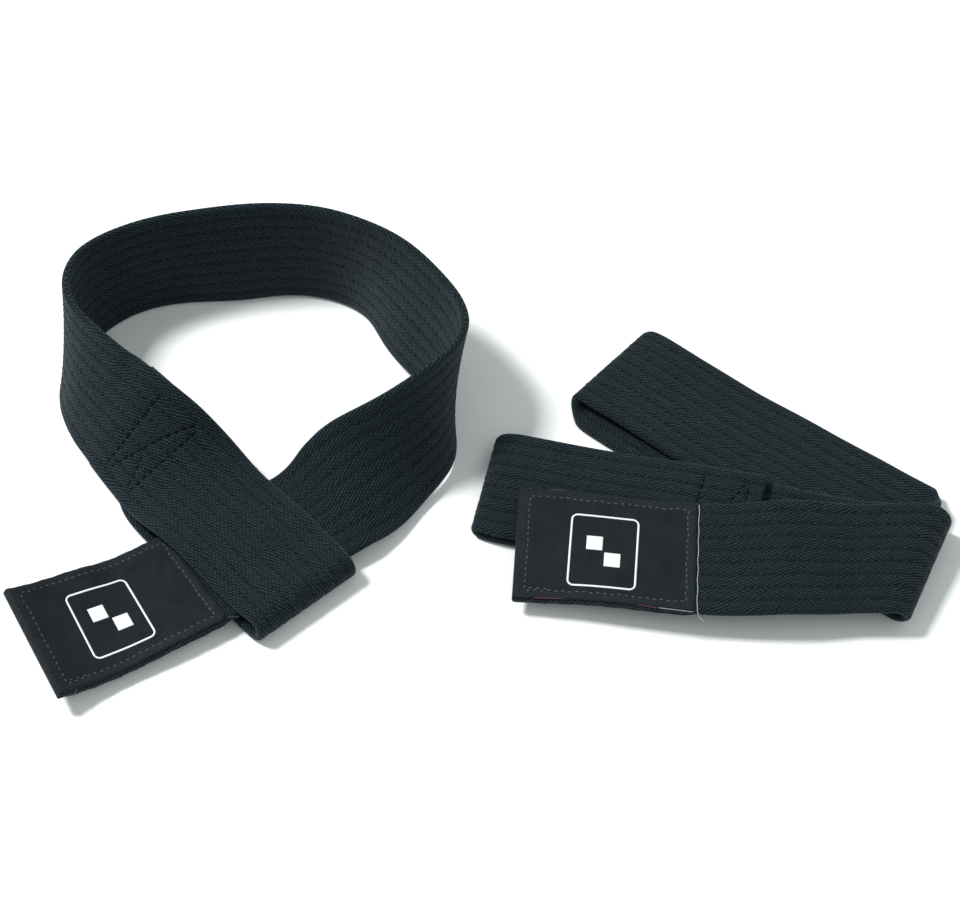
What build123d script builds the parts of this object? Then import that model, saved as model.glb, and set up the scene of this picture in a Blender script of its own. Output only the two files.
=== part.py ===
from build123d import *
import os

import numpy as np

# A pair of short cotton straps. One is looped: its tail passes through the sewn eye at its other
# end. The other is folded in four and lies beside it, at +X. Each strap is a quilted cover over a
# flat core, with a lock-stitched eye at one end and a cloth patch round the other. +Z is up, the
# floor is Z = 0, X and Y are centred on the pair. Millimetres.
#
# A "station" is one ruling across a strap: (edge point a, edge point b, outward normal).

# ---- driving dimensions ----
STRAP_WIDTH = 40.0
STRAP_THICK = 2.8         # finished thickness, cover and core together
COVER_WALL = 0.5          # one layer of cover cloth
COVER_SLIT = 0.24         # slit along the middle of the cover's inner face
EDGE_ROUND = 1.3          # how far the folded edge is rounded back
INNER_ROUND = EDGE_ROUND - 0.25
EDGE_FLAT = 0.35          # share of the thickness left upright at the edge
CORE_GAP = 0.05           # air between core and cover
LAYER_PITCH = 3.0         # distance between layers lying on each other
LABEL_LENGTH = 56.0       # patch, measured along the strap
LABEL_THICK = 0.5         # patch cloth
LABEL_GAP = 0.05          # air between patch and cover
LABEL_SIDE = 0.3          # patch edge, in from the strap's edge
LABEL_INSET = 3.0         # patch seam, in from the edge
EYE_RETURN = 87.0         # how far the eye's end is folded back
EYE_LAYER_PITCH = 3.4     # main layer to folded-back layer at the lock stitch
QUILT_ROWS = (-15.0, -10.0, -5.0, 0.0, 5.0, 10.0, 15.0)   # stitch rows, across the strap
QUILT_THREAD = 0.5        # thread width
QUILT_PROUD = 0.08        # thread standing out of the cloth
QUILT_START = LABEL_LENGTH + 1.0      # quilting begins clear of the patch
JOINT_GAP = 1.2           # free length left at each bend hinge

HALF_WIDTH = STRAP_WIDTH / 2
HALF_THICK = STRAP_THICK / 2
LABEL_BASE = HALF_THICK + LABEL_GAP   # patch cloth's near face, from the strap's middle
LABEL_FACE = LABEL_BASE + LABEL_THICK
UP = np.array([0, 0, 1.0])
SHIFT = Vector(-1.451, 14.107, 0)     # centres the pair in X and Y


# ---- vectors and blends ----
def unit(v):
    v = np.asarray(v, float)
    return v / np.linalg.norm(v)


def flat(v):
    return np.array([v[0], v[1], 0.0])


def heading(degrees):
    return np.array([np.cos(np.radians(degrees)), np.sin(np.radians(degrees)), 0.0])


def left_of(v):
    return np.array([-v[1], v[0], 0.0])


def right_of(v):
    return np.array([v[1], -v[0], 0.0])


def smooth(none, full, x):
    """Smooth step from 0 at none to 1 at full; none may be the larger."""
    u = np.clip((x - none) / (full - none), 0.0, 1.0)
    return u * u * (3 - 2 * u)


def bump(x, start, full_from, full_to, end):
    return smooth(start, full_from, x) * smooth(end, full_to, x)


def blend(x, terms):
    """Sum of (amount, x where it is absent, x where it is full)."""
    return sum(amount * smooth(none, full, x) for amount, none, full in terms)


def spline_at(points, share):
    """Catmull-Rom through the points; share runs from 0 to 1 by index."""
    last = len(points) - 1
    x = np.clip(share, 0, 1) * last
    i = min(int(x), last - 1)
    u = x - i
    p1, p2 = points[i], points[i + 1]
    p0 = points[i - 1] if i > 0 else 2 * p1 - p2
    p3 = points[i + 2] if i + 2 <= last else 2 * p2 - p1
    return 0.5 * (2 * p1 + (p2 - p0) * u + (2 * p0 - 5 * p1 + 4 * p2 - p3) * u * u
                  + (3 * p1 - p0 - 3 * p2 + p3) * u ** 3)


# ---- looped strap: path ----
LOOPED_LENGTH = 475.41
# From the patch end, at even steps: centre x, y, z, then across direction x, y, z
LOOPED_TABLE = np.array([
    (-135.05, -85.54, 11.2, -0.4849, 0.8546, 0.1859),
    (-131.18, -82.94, 9.39, -0.4905, 0.8534, 0.1766),
    (-127.11, -80.33, 8.1, -0.4942, 0.8533, 0.1664),
    (-122.93, -77.74, 7.2, -0.4972, 0.854, 0.1529),
    (-118.69, -75.16, 6.59, -0.5001, 0.8554, 0.1345),
    (-114.42, -72.59, 6.12, -0.5036, 0.8569, 0.1103),
    (-110.14, -70.02, 5.7, -0.5088, 0.8571, 0.081),
    (-105.87, -67.43, 5.32, -0.5157, 0.8553, 0.0498),
    (-101.61, -64.83, 4.99, -0.5237, 0.8516, 0.0207),
    (-97.37, -62.19, 4.74, -0.5326, 0.8464, -0.003),
    (-93.15, -59.5, 4.57, -0.5425, 0.8399, -0.0177),
    (-88.97, -56.76, 4.49, -0.5521, 0.8335, -0.0216),
    (-84.81, -53.98, 4.5, -0.5604, 0.8281, -0.0174),
    (-80.68, -51.15, 4.56, -0.5674, 0.8234, -0.0089),
    (-76.57, -48.3, 4.68, -0.573, 0.8195, -0.0004),
    (-72.48, -45.42, 4.83, -0.5772, 0.8166, 0.0038),
    (-68.39, -42.53, 5.01, -0.578, 0.816, 0.0028),
    (-64.31, -39.65, 5.29, -0.5745, 0.8185, 0.0029),
    (-60.22, -36.81, 5.76, -0.5672, 0.8235, 0.0115),
    (-56.12, -34.04, 6.5, -0.5579, 0.8291, 0.037),
    (-52.02, -31.38, 7.59, -0.5518, 0.8289, 0.0912),
    (-47.95, -28.88, 9.07, -0.5603, 0.808, 0.1824),
    (-43.92, -26.48, 10.8, -0.5813, 0.7539, 0.3061),
    (-39.91, -24.14, 12.67, -0.5988, 0.6608, 0.4525),
    (-35.9, -21.79, 14.53, -0.5917, 0.5375, 0.6008),
    (-31.88, -19.37, 16.27, -0.5496, 0.4159, 0.7245),
    (-27.86, -16.81, 17.79, -0.4947, 0.3203, 0.8079),
    (-23.91, -14.02, 19.06, -0.4423, 0.2488, 0.8617),
    (-20.14, -10.89, 20.07, -0.3893, 0.1932, 0.9006),
    (-16.68, -7.34, 20.77, -0.3264, 0.1456, 0.934),
    (-13.72, -3.33, 21.14, -0.2412, 0.1058, 0.9647),
    (-11.38, 1.08, 21.2, -0.1379, 0.0741, 0.9877),
    (-9.69, 5.79, 21.06, -0.0289, 0.0522, 0.9982),
    (-8.7, 10.68, 20.81, 0.0756, 0.0437, 0.9962),
    (-8.5, 15.67, 20.56, 0.1664, 0.0491, 0.9848),
    (-9.2, 20.62, 20.43, 0.2372, 0.0667, 0.9692),
    (-10.87, 25.33, 20.49, 0.2852, 0.0993, 0.9533),
    (-13.23, 29.73, 20.69, 0.3142, 0.1375, 0.9394),
    (-16, 33.89, 20.96, 0.3304, 0.1702, 0.9284),
    (-18.96, 37.92, 21.24, 0.3366, 0.1911, 0.922),
    (-21.93, 41.94, 21.47, 0.3312, 0.1959, 0.923),
    (-24.81, 46.02, 21.61, 0.3058, 0.1898, 0.933),
    (-27.71, 50.1, 21.69, 0.2606, 0.1787, 0.9488),
    (-30.76, 54.07, 21.72, 0.2013, 0.1609, 0.9662),
    (-34.09, 57.8, 21.73, 0.1384, 0.1348, 0.9812),
    (-37.82, 61.13, 21.74, 0.0874, 0.1038, 0.9907),
    (-41.98, 63.91, 21.79, 0.0581, 0.0792, 0.9952),
    (-46.46, 66.14, 21.85, 0.0438, 0.0662, 0.9968),
    (-51.16, 67.83, 21.93, 0.0365, 0.0639, 0.9973),
    (-56.03, 68.99, 22.02, 0.031, 0.0699, 0.9971),
    (-60.99, 69.63, 22.11, 0.0239, 0.0815, 0.9964),
    (-65.99, 69.74, 22.19, 0.0145, 0.0967, 0.9952),
    (-70.98, 69.46, 22.27, 0.0041, 0.1127, 0.9936),
    (-75.95, 68.91, 22.33, -0.0056, 0.1264, 0.992),
    (-80.91, 68.24, 22.37, -0.0129, 0.1343, 0.9909),
    (-85.87, 67.58, 22.39, -0.0164, 0.1328, 0.991),
    (-90.85, 67.01, 22.37, -0.019, 0.1196, 0.9926),
    (-95.82, 66.44, 22.33, -0.0228, 0.0982, 0.9949),
    (-100.77, 65.74, 22.27, -0.0265, 0.0733, 0.997),
    (-105.68, 64.77, 22.19, -0.0289, 0.0499, 0.9983),
    (-110.5, 63.42, 22.1, -0.0304, 0.034, 0.999),
    (-115.15, 61.6, 22.01, -0.032, 0.0301, 0.999),
    (-119.59, 59.29, 21.94, -0.0348, 0.0359, 0.9988),
    (-123.71, 56.46, 21.91, -0.0391, 0.0465, 0.9982),
    (-127.39, 53.07, 21.93, -0.0427, 0.0565, 0.9975),
    (-130.48, 49.14, 22.04, -0.0393, 0.0623, 0.9973),
    (-132.82, 44.74, 22.23, -0.0244, 0.059, 0.998),
    (-134.41, 40, 22.47, 0.0046, 0.0481, 0.9988),
    (-135.22, 35.07, 22.69, 0.0499, 0.0363, 0.9981),
    (-135.27, 30.08, 22.85, 0.1114, 0.0305, 0.9933),
    (-134.49, 25.14, 22.9, 0.1868, 0.0389, 0.9816),
    (-132.91, 20.4, 22.77, 0.2668, 0.0682, 0.9613),
    (-130.66, 15.94, 22.47, 0.3389, 0.1126, 0.9341),
    (-127.92, 11.79, 21.98, 0.3996, 0.1611, 0.9024),
    (-124.85, 7.9, 21.31, 0.4515, 0.2064, 0.8681),
    (-121.55, 4.23, 20.44, 0.4994, 0.2448, 0.8311),
    (-118.12, 0.75, 19.36, 0.5409, 0.2833, 0.7919),
    (-114.61, -2.59, 18.14, 0.5741, 0.33, 0.7494),
    (-111.04, -5.85, 16.85, 0.6026, 0.386, 0.6985),
    (-107.44, -9.08, 15.55, 0.6297, 0.4509, 0.6326),
    (-103.85, -12.35, 14.33, 0.6578, 0.5212, 0.5437),
    (-100.29, -15.68, 13.23, 0.6848, 0.5889, 0.4292),
    (-96.75, -19.1, 12.28, 0.7042, 0.643, 0.3011),
    (-93.24, -22.57, 11.48, 0.7145, 0.6765, 0.1786),
    (-89.76, -26.11, 10.86, 0.7185, 0.6911, 0.0786),
    (-86.28, -29.68, 10.41, 0.7206, 0.6932, 0.0115),
    (-82.83, -33.29, 10.14, 0.7238, 0.6897, -0.02),
    (-79.39, -36.93, 9.99, 0.7277, 0.6854, -0.0258),
    (-75.97, -40.58, 9.89, 0.7314, 0.6817, -0.0165),
    (-72.57, -44.25, 9.78, 0.7346, 0.6785, -0.0012),
    (-69.18, -47.93, 9.58, 0.7374, 0.6754, 0.0111),
    (-65.82, -51.61, 9.23, 0.7397, 0.6728, 0.0134),
    (-62.47, -55.29, 8.67, 0.7412, 0.6712, 0.0076),
    (-59.16, -58.94, 7.82, 0.7415, 0.671, -0.0016),
    (-55.9, -62.55, 6.63, 0.7405, 0.6719, -0.0101),
    (-52.73, -66.07, 5.04, 0.7393, 0.6733, -0.0139),
])

PROBE = 0.8               # half the length over which a direction of travel is taken
TAIL_LEVEL = 5.15         # height of the tail's middle where it passes through the eye
EYE_TOP = 8.8             # height of the eye's upper layer at its fold
EYE_LOW = 1.5             # height of the eye's lower layer, lying flat
EYE_FOLD_START = 470.3    # length along the strap
EYE_FOLD_RADIUS = (EYE_TOP - EYE_LOW) / 2
EYE_FOLD_END = EYE_FOLD_START + np.pi * EYE_FOLD_RADIUS
LOOPED_END = EYE_FOLD_END + EYE_RETURN

# Adjustments to the table: lengths where each starts, is full, begins to fade and ends
TAIL_FLAT = (22, 42, 91, 111)
STITCH_LIFT = (375, 385, 400, 412)
STITCH_LIFT_HEIGHT = 0.9
FAR_SIDE_SHIFT = (172, 262, 352, 400)
FAR_SIDE_OFFSET = 1.85 * np.array([0, 0.839, -1.0])
EYE_LEVELLING = (448, 462)
# Edge side, and the lengths between which that edge drops from the stitch to the floor
EYE_DROPS = ((1, 400, 427), (-1, 402, 422))
STITCH_SIDESTEP = 1.0     # folded-back layer set sideways at the stitch, fading towards the fold
SIDESTEP_FADE = (432, 398)


def looped_centre(s):
    """Adjusted centre point and across direction at length s."""
    row = spline_at(LOOPED_TABLE, s / LOOPED_LENGTH)
    p, across = row[:3], row[3:]
    level = bump(s, *TAIL_FLAT)
    p[2] += level * (TAIL_LEVEL - p[2])
    across[2] *= 1 - level
    level = smooth(*EYE_LEVELLING, s)
    p[2] += level * (EYE_TOP - p[2])
    across[2] *= 1 - level
    p[2] += STITCH_LIFT_HEIGHT * bump(s, *STITCH_LIFT)
    return p + bump(s, *FAR_SIDE_SHIFT) * FAR_SIDE_OFFSET, across


def looped_main(s):
    """Main layer: centre, across direction, outward normal."""
    p, across = looped_centre(s)
    ahead = looped_centre(min(s + PROBE, LOOPED_LENGTH))[0]
    travel = unit(ahead - looped_centre(max(s - PROBE, 0.0))[0])
    across = unit(across - travel * (across @ travel))
    return p, across, np.cross(travel, across)


def eye_return_edges(s):
    """Edges of the eye's folded-back layer under the main layer at s: close under it as far as
    the lock stitch, then down to the floor to let the tail through."""
    p, across, normal = looped_main(s)
    before = looped_main(s - PROBE)
    after = looped_main(min(s + PROBE, EYE_FOLD_START))
    edges = []
    for side, drop_start, drop_end in EYE_DROPS:
        reach = side * HALF_WIDTH
        travel = unit((after[0] + reach * after[1]) - (before[0] + reach * before[1]))
        edge_normal = unit(np.cross(travel, across))
        if edge_normal @ normal < 0:
            edge_normal = -edge_normal
        edge = p + reach * across
        tight = edge - EYE_LAYER_PITCH * edge_normal
        low = np.array([edge[0], edge[1], EYE_LOW])
        drop = smooth(drop_start, drop_end, s)
        edges.append(tight * (1 - drop) + low * drop)
    ruling = unit(edges[0] - edges[1])
    centre = (edges[0] + edges[1]) / 2
    centre = centre - STITCH_SIDESTEP * ruling * smooth(*SIDESTEP_FADE, s)
    return centre + ruling * HALF_WIDTH, centre - ruling * HALF_WIDTH


def looped_at(s):
    """Looped strap's station at length s, through the eye's fold and back."""
    if s <= EYE_FOLD_START:
        p, across, normal = looped_main(s)
        return p + HALF_WIDTH * across, p - HALF_WIDTH * across, normal
    if s <= EYE_FOLD_END:
        p, across, _ = looped_main(EYE_FOLD_START)
        across = unit(flat(across))
        outward = right_of(across)
        turn = np.pi * (s - EYE_FOLD_START) / (EYE_FOLD_END - EYE_FOLD_START)
        z = EYE_LOW + EYE_FOLD_RADIUS * (1 + np.cos(turn))
        p = np.array([p[0], p[1], z]) + outward * EYE_FOLD_RADIUS * np.sin(turn)
        normal = UP * np.cos(turn) + outward * np.sin(turn)
        return p + HALF_WIDTH * across, p - HALF_WIDTH * across, normal
    above = EYE_FOLD_START - (s - EYE_FOLD_END)
    a, b = eye_return_edges(above)
    a1, b1 = eye_return_edges(min(above + PROBE, EYE_FOLD_START))
    a0, b0 = eye_return_edges(above - PROBE)
    travel = unit((a1 + b1) - (a0 + b0))
    return a, b, -unit(np.cross(travel, a - b))


def looped_stations(start, end, step=11.0):
    count = max(2, int(round((end - start) / step)))
    return [looped_at(start + (end - start) * i / count) for i in range(count + 1)]


# ---- folded strap: layers ----
# In order from the patch end: front panel (on top), right outer fold, lower layer, left fold,
# upper layer, right inner fold, middle panel, eye fold, eye return.
LOWER_Z = HALF_THICK - 0.03           # the underside is then dressed flat at zero
UPPER_Z = LOWER_Z + LAYER_PITCH
MIDDLE_Z = UPPER_Z + LAYER_PITCH
FRONT_Z = MIDDLE_Z + LAYER_PITCH
FRONT_END_Z = FRONT_Z + 2.2           # at the right fold, a little air under it
UPPER_LEFT_Z = 7.6                    # upper layer's height at the left fold
PANEL_STEP = 12.0
FOLD_STEPS = 6
PART_FOLD = 0.5 + 38.0 / 180.0        # share of a half turn made by each fold at the right

RIGHT_AXIS = heading(68.5)            # line of the two nested folds at the right
RIGHT_OUT = right_of(RIGHT_AXIS)
RIGHT_POINT = np.array([135.5, -48.3, 0.0])
LEFT_AXIS = heading(49.0)
LEFT_OUT = left_of(LEFT_AXIS)


def slant(axis, along, across):
    """Lean of a ruling along the travel, per unit across, that lays it on the axis."""
    return (axis @ along) / (axis @ across)


def length_to_right_fold(start, along):
    return ((RIGHT_POINT - start) @ RIGHT_OUT) / (along @ RIGHT_OUT)


FRONT_START = np.array([11.9, -45.8, 0.0])
FRONT_ALONG = heading(-3.8)
FRONT_LENGTH = length_to_right_fold(FRONT_START, FRONT_ALONG)
FRONT_SWERVE = 4.2                    # towards -Y, over the lengths in FRONT_SWERVE_SPAN
FRONT_SWERVE_SPAN = (0, 62, 66, 126)
FRONT_AIR = 0.32
# (amount, x where absent, x where full): heights in millimetres, rolls in degrees
FRONT_LIFT = ((3.13, 117, 92), (0.6, 80, 66), (1.3, 62, 96))
FRONT_ROLL = ((7.0, 60, 15), (3.2, 98, 130), (3.8, 62, 96))
MIDDLE_CLIMB = ((0.4, 8, 60), (0.6, 25, 98))      # shares of the middle panel's climb

LOWER_LENGTH = 117.0
UPPER_START = np.array([45.4, 30.4, 0.0])
UPPER_ALONG = heading(-37.0)

MIDDLE_LENGTH = 143.0
MIDDLE_AIR = 0.12
MIDDLE_ROLL = 5.0                     # degrees, over the x in MIDDLE_ROLL_SPAN
MIDDLE_ROLL_SPAN = (30, 65, 90, 122)
# Middle panel's far (+Y) edge in plan (x, y), from the right fold to the eye's fold
MIDDLE_FAR_EDGE = np.array([
    (143.4, -28.3), (135.0, -28.6), (118.0, -27.2), (100.0, -23.5), (84.0, -19.0),
    (68.0, -14.6), (52.0, -10.2), (36.0, -6.0), (22.0, -2.4), (9.5, 0.8),
])
EYE_RETURN_AIR = 0.05
EYE_OPENING = 3.0                     # lift of the return's far edge at the eye's fold
EYE_OPENING_FADE = (62, 14)
EYE_OPENING_NEAR = 0.1                # the near edge's share of that lift


def middle_travel(share):
    ahead = spline_at(MIDDLE_FAR_EDGE, min(share + 0.01, 1.0))
    return unit(flat(ahead - spline_at(MIDDLE_FAR_EDGE, max(share - 0.01, 0.0))))


MIDDLE_SLANT = slant(RIGHT_AXIS, middle_travel(0.0), right_of(middle_travel(0.0)))


def middle_plan(share):
    """Middle panel in plan: far edge point, near edge point, centre."""
    far = flat(spline_at(MIDDLE_FAR_EDGE, share))
    travel = middle_travel(share)
    lean = MIDDLE_SLANT * smooth(0.28, 0.0, share)
    near = far - STRAP_WIDTH * (right_of(travel) + lean * travel)
    return far, near, (far + near) / 2


def middle_level(x):
    """Height and roll (radians) of the middle panel's centre line at x."""
    base = LOWER_Z + MIDDLE_AIR
    roll = np.radians(MIDDLE_ROLL) * bump(x, *MIDDLE_ROLL_SPAN)
    return base + (MIDDLE_Z - base) * blend(x, MIDDLE_CLIMB), roll


# Middle panel's centre line, with x rising
MIDDLE_CENTRES = np.array([middle_plan(share)[2] for share in np.linspace(0, 1, 61)])[::-1]


def middle_surface(x, y):
    z, roll = middle_level(x)
    return z + np.tan(roll) * (y - np.interp(x, MIDDLE_CENTRES[:, 0], MIDDLE_CENTRES[:, 1]))


def plan_edges(centre, along, across, lean):
    offset = HALF_WIDTH * (across + lean * along)
    return centre + offset, centre - offset


def raised(a, b, z, roll=0.0):
    rise = HALF_WIDTH * np.sin(roll) * UP
    return flat(a) + z * UP + rise, flat(b) + z * UP - rise


def with_normals(pairs):
    """Edge-point pairs to stations; the normal is across both the ruling and the travel."""
    mids = [(a + b) / 2 for a, b in pairs]
    stations = []
    for i, (a, b) in enumerate(pairs):
        ruling = unit(a - b)
        travel = unit(mids[min(i + 1, len(mids) - 1)] - mids[max(i - 1, 0)])
        normal = np.cross(travel, ruling)
        stations.append((a, b, unit(normal - ruling * (normal @ ruling))))
    return stations


def steps_along(length):
    count = int(round(length / PANEL_STEP))
    return [length * i / count for i in range(count + 1)]


def front_panel():
    across = left_of(FRONT_ALONG)
    end_lean = slant(RIGHT_AXIS, FRONT_ALONG, across)
    pairs = []
    for s in steps_along(FRONT_LENGTH):
        swerve = FRONT_SWERVE * bump(s, *FRONT_SWERVE_SPAN)
        centre = FRONT_START + FRONT_ALONG * s - across * swerve
        lean = end_lean * smooth(FRONT_LENGTH - 48, FRONT_LENGTH - 2, s)
        x, y = centre[:2]
        z = middle_surface(x, y) + LAYER_PITCH + FRONT_AIR + blend(x, FRONT_LIFT)
        roll = middle_level(x)[1] + np.radians(blend(x, FRONT_ROLL))
        at_fold = smooth(114, 130, x)
        z = z * (1 - at_fold) + FRONT_END_Z * at_fold
        pairs.append(raised(*plan_edges(centre, FRONT_ALONG, across, lean), z, roll))
    return with_normals(pairs)


def lower_layer():
    """Flat and straight, so its two end stations are enough. Heads back from the right fold."""
    along = FRONT_ALONG - 2 * (FRONT_ALONG @ RIGHT_OUT) * RIGHT_OUT
    across = right_of(along)
    # the slanting strap moves along the fold's axis as it goes round
    advance = slant(FRONT_ALONG, RIGHT_AXIS, RIGHT_OUT) * np.pi * (FRONT_Z - LOWER_Z) / 2
    start = FRONT_START + FRONT_ALONG * FRONT_LENGTH + RIGHT_AXIS * advance
    stations = []
    for s, axis in ((0.0, RIGHT_AXIS), (LOWER_LENGTH, LEFT_AXIS)):
        edges = plan_edges(start + along * s, along, across, slant(axis, along, across))
        stations.append((*raised(*edges, LOWER_Z), -UP))
    return stations


def upper_layer():
    across = left_of(UPPER_ALONG)
    length = length_to_right_fold(UPPER_START, UPPER_ALONG)
    left_lean = slant(LEFT_AXIS, UPPER_ALONG, across)
    right_lean = slant(RIGHT_AXIS, UPPER_ALONG, across)
    pairs = []
    for s in steps_along(length):
        lean = left_lean * smooth(30, 2, s) + right_lean * smooth(length - 40, length - 2, s)
        z = UPPER_Z + (UPPER_LEFT_Z - UPPER_Z) * smooth(48, 0, s)
        edges = plan_edges(UPPER_START + UPPER_ALONG * s, UPPER_ALONG, across, lean)
        pairs.append(raised(*edges, z))
    return with_normals(pairs)


def middle_panel():
    pairs = []
    for s in steps_along(MIDDLE_LENGTH):
        far, near, centre = middle_plan(s / MIDDLE_LENGTH)
        z, roll = middle_level(centre[0])
        at_fold = smooth(126, 134, centre[0])
        pairs.append(raised(far, near, z * (1 - at_fold) + MIDDLE_Z * at_fold, roll))
    return with_normals(pairs)


def eye_return():
    """Folded-back layer, from the eye's fold towards the right."""
    pairs = []
    for s in steps_along(EYE_RETURN):
        far, near, centre = middle_plan(1.0 - s / MIDDLE_LENGTH)
        z, roll = middle_level(centre[0])
        far, near = raised(far, near, z + LAYER_PITCH + EYE_RETURN_AIR, roll)
        lift = EYE_OPENING * smooth(*EYE_OPENING_FADE, centre[0]) * UP
        pairs.append((far + lift, near + EYE_OPENING_NEAR * lift))
    return with_normals(pairs)


def half_round(start, end, outward, side=1, turn_from=0.0, turn_to=1.0):
    """Fold between two stations one above the other. side +1: normals point out of the fold."""
    a0, b0, normal0 = start
    a1, b1, _ = end
    up = UP * (1 if normal0[2] > 0 else -1)
    stations = []
    for i in range(FOLD_STEPS + 1):
        turn = turn_from + (turn_to - turn_from) * i / FOLD_STEPS
        sine, cosine = np.sin(np.pi * turn), np.cos(np.pi * turn)
        share = np.array([turn, turn, (1 - cosine) / 2])
        a = a0 + (a1 - a0) * share + outward * abs(a1[2] - a0[2]) / 2 * sine
        b = b0 + (b1 - b0) * share + outward * abs(b1[2] - b0[2]) / 2 * sine
        normal = up * cosine + side * outward * sine
        ruling = unit(a - b)
        stations.append((a, b, unit(normal - ruling * (normal @ ruling))))
    return stations


# ---- solids ----
def section(centre, across, normal, outline):
    """Closed wire of an outline (across, through) placed on a frame."""
    points = [Vector(*(centre + across * u + normal * v)) for u, v in outline]
    return Wire.make_polygon(points, close=True)


def loft(stations, outline):
    wires = [section((a + b) / 2, (a - b) / STRAP_WIDTH, n, outline) for a, b, n in stations]
    return Solid.make_loft(wires, True)


def rounded_outline(w, t, r):
    """Flat bar of half width w and half thickness t, its edges tapered over r."""
    e = t * EDGE_FLAT
    return [(r - w, -t), (w - r, -t), (w, -e), (w, e), (w - r, t), (r - w, t), (-w, e), (-w, -e)]


def cover_outline():
    """One closed outline: round the outside, through the slit and back round the inside."""
    slit = COVER_SLIT / 2
    inner_t = HALF_THICK - COVER_WALL
    outer = rounded_outline(HALF_WIDTH, HALF_THICK, EDGE_ROUND)
    inner = rounded_outline(HALF_WIDTH - COVER_WALL, inner_t, INNER_ROUND)
    return ([(-slit, -HALF_THICK), outer[0]] + outer[:0:-1] + [(slit, -HALF_THICK)]
            + [(slit, -inner_t)] + inner[1:] + [inner[0], (-slit, -inner_t)])


def core_outline():
    inset = COVER_WALL + CORE_GAP
    return rounded_outline(HALF_WIDTH - inset, HALF_THICK - inset, INNER_ROUND)


def box_outline(u0, u1, v0, v1):
    return [(u0, v0), (u1, v0), (u1, v1), (u0, v1)]


def quilt_rows(stations, top=HALF_THICK + QUILT_PROUD):
    h = QUILT_THREAD / 2
    bottom = -HALF_THICK - QUILT_PROUD
    return [loft(stations, box_outline(u - h, u + h, bottom, top)) for u in QUILT_ROWS]


def put(name, solids):
    """Centre a node's solids on the pair and write them."""
    solids = solids if isinstance(solids, list) else [solids]
    solids = [s.moved(Location(SHIFT)) for s in solids]
    shape = solids[0] if len(solids) == 1 else Compound(children=solids)
    shape.label = name
    export_step(shape, "parts/" + name + ".step")


def strap_piece(prefix, stations, quilted=None):
    put(prefix + "_cover", loft(stations, cover_outline()))
    put(prefix + "_core", loft(stations, core_outline()))
    put(prefix + "_quilting", quilt_rows(quilted or stations))


class Run:
    """Stations addressed by length, straight between one station and the next."""

    def __init__(self, stations):
        self.stations = stations
        mids = [(a + b) / 2 for a, b, _ in stations]
        self.lengths = [0.0]
        for p, q in zip(mids, mids[1:]):
            self.lengths.append(self.lengths[-1] + float(np.linalg.norm(q - p)))
        self.length = self.lengths[-1]

    def at(self, s):
        if s < 0:       # carried straight on beyond the strap's end
            a, b, normal = self.at(0.0)
            a1, b1, _ = self.at(1.0)
            return a + (a1 - a) * s, b + (b1 - b) * s, normal
        i = 0
        while i < len(self.lengths) - 2 and self.lengths[i + 1] < s:
            i += 1
        u = (s - self.lengths[i]) / (self.lengths[i + 1] - self.lengths[i])
        a, b, normal = (p * (1 - u) + q * u
                        for p, q in zip(self.stations[i], self.stations[i + 1]))
        ruling = unit(a - b)
        return a, b, unit(normal - ruling * (normal @ ruling))

    def between(self, start, end):
        """Both ends and the run's own stations between them."""
        own = [s for s in self.lengths if start + 0.3 < s < end - 0.3]
        return [self.at(s) for s in [start] + own + [end]]


# ---- patch ----
LABEL_OVERHANG = 0.6      # patch beyond the strap's raw end
SEAM_HALF = 0.25          # half width of the side seams
MARK_START = 14.5
MARK_LENGTH, MARK_WIDTH, MARK_LINE = 21.0, 24.0, 0.9
CHEQUER = 5.6             # outer reach of each square from the mark's centre
CHEQUER_GAP = 0.3         # inner reach


def label_cloth(run):
    """Front and back faces joined round the strap's raw end."""
    w = HALF_WIDTH - LABEL_SIDE
    faces = run.between(-LABEL_OVERHANG, LABEL_LENGTH)
    front = loft(faces, box_outline(-w, w, LABEL_BASE, LABEL_FACE))
    back = loft(faces, box_outline(-w, w, -LABEL_FACE, -LABEL_BASE))
    reach = LABEL_BASE + 0.2
    wrap = loft([run.at(-LABEL_OVERHANG), run.at(-0.1)],
                box_outline(-w + 0.05, w - 0.05, -reach, reach))
    return front.fuse(wrap).fuse(back)


def label_seam(run):
    edge = HALF_WIDTH - LABEL_INSET
    t = LABEL_FACE + 0.06
    ends = (LABEL_INSET, LABEL_LENGTH - LABEL_INSET)
    side = run.between(*ends)
    seam = [loft(side, box_outline(u - SEAM_HALF, u + SEAM_HALF, -t, t)) for u in (-edge, edge)]
    for s in ends:
        seam.append(loft([run.at(s - 0.9), run.at(s - 0.4)],
                         box_outline(-edge + 0.5, edge - 0.5, -t, t)))
    return seam


def label_mark(run):
    """Printed mark: a plain frame with a chequer of two squares."""
    start, end = MARK_START, MARK_START + MARK_LENGTH
    half = MARK_WIDTH / 2
    inner = half - MARK_LINE
    mid = start + MARK_LENGTH / 2
    bars = (        # from, to along the strap; from, to across it
        (start, end, inner, half),
        (start, end, -half, -inner),
        (start, start + MARK_LINE, -inner + 0.02, inner - 0.02),
        (end - MARK_LINE, end, -inner + 0.02, inner - 0.02),
        (mid - CHEQUER, mid - CHEQUER_GAP, CHEQUER_GAP, CHEQUER),
        (mid + CHEQUER_GAP, mid + CHEQUER, -CHEQUER, -CHEQUER_GAP),
    )
    return [loft(run.between(s0, s1), box_outline(u0, u1, LABEL_FACE - 0.05, LABEL_FACE + 0.08))
            for s0, s1, u0, u1 in bars]


def label(prefix, run):
    put(prefix + "_label", label_cloth(run))
    put(prefix + "_label_seam", label_seam(run))
    put(prefix + "_label_mark", label_mark(run))


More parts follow.
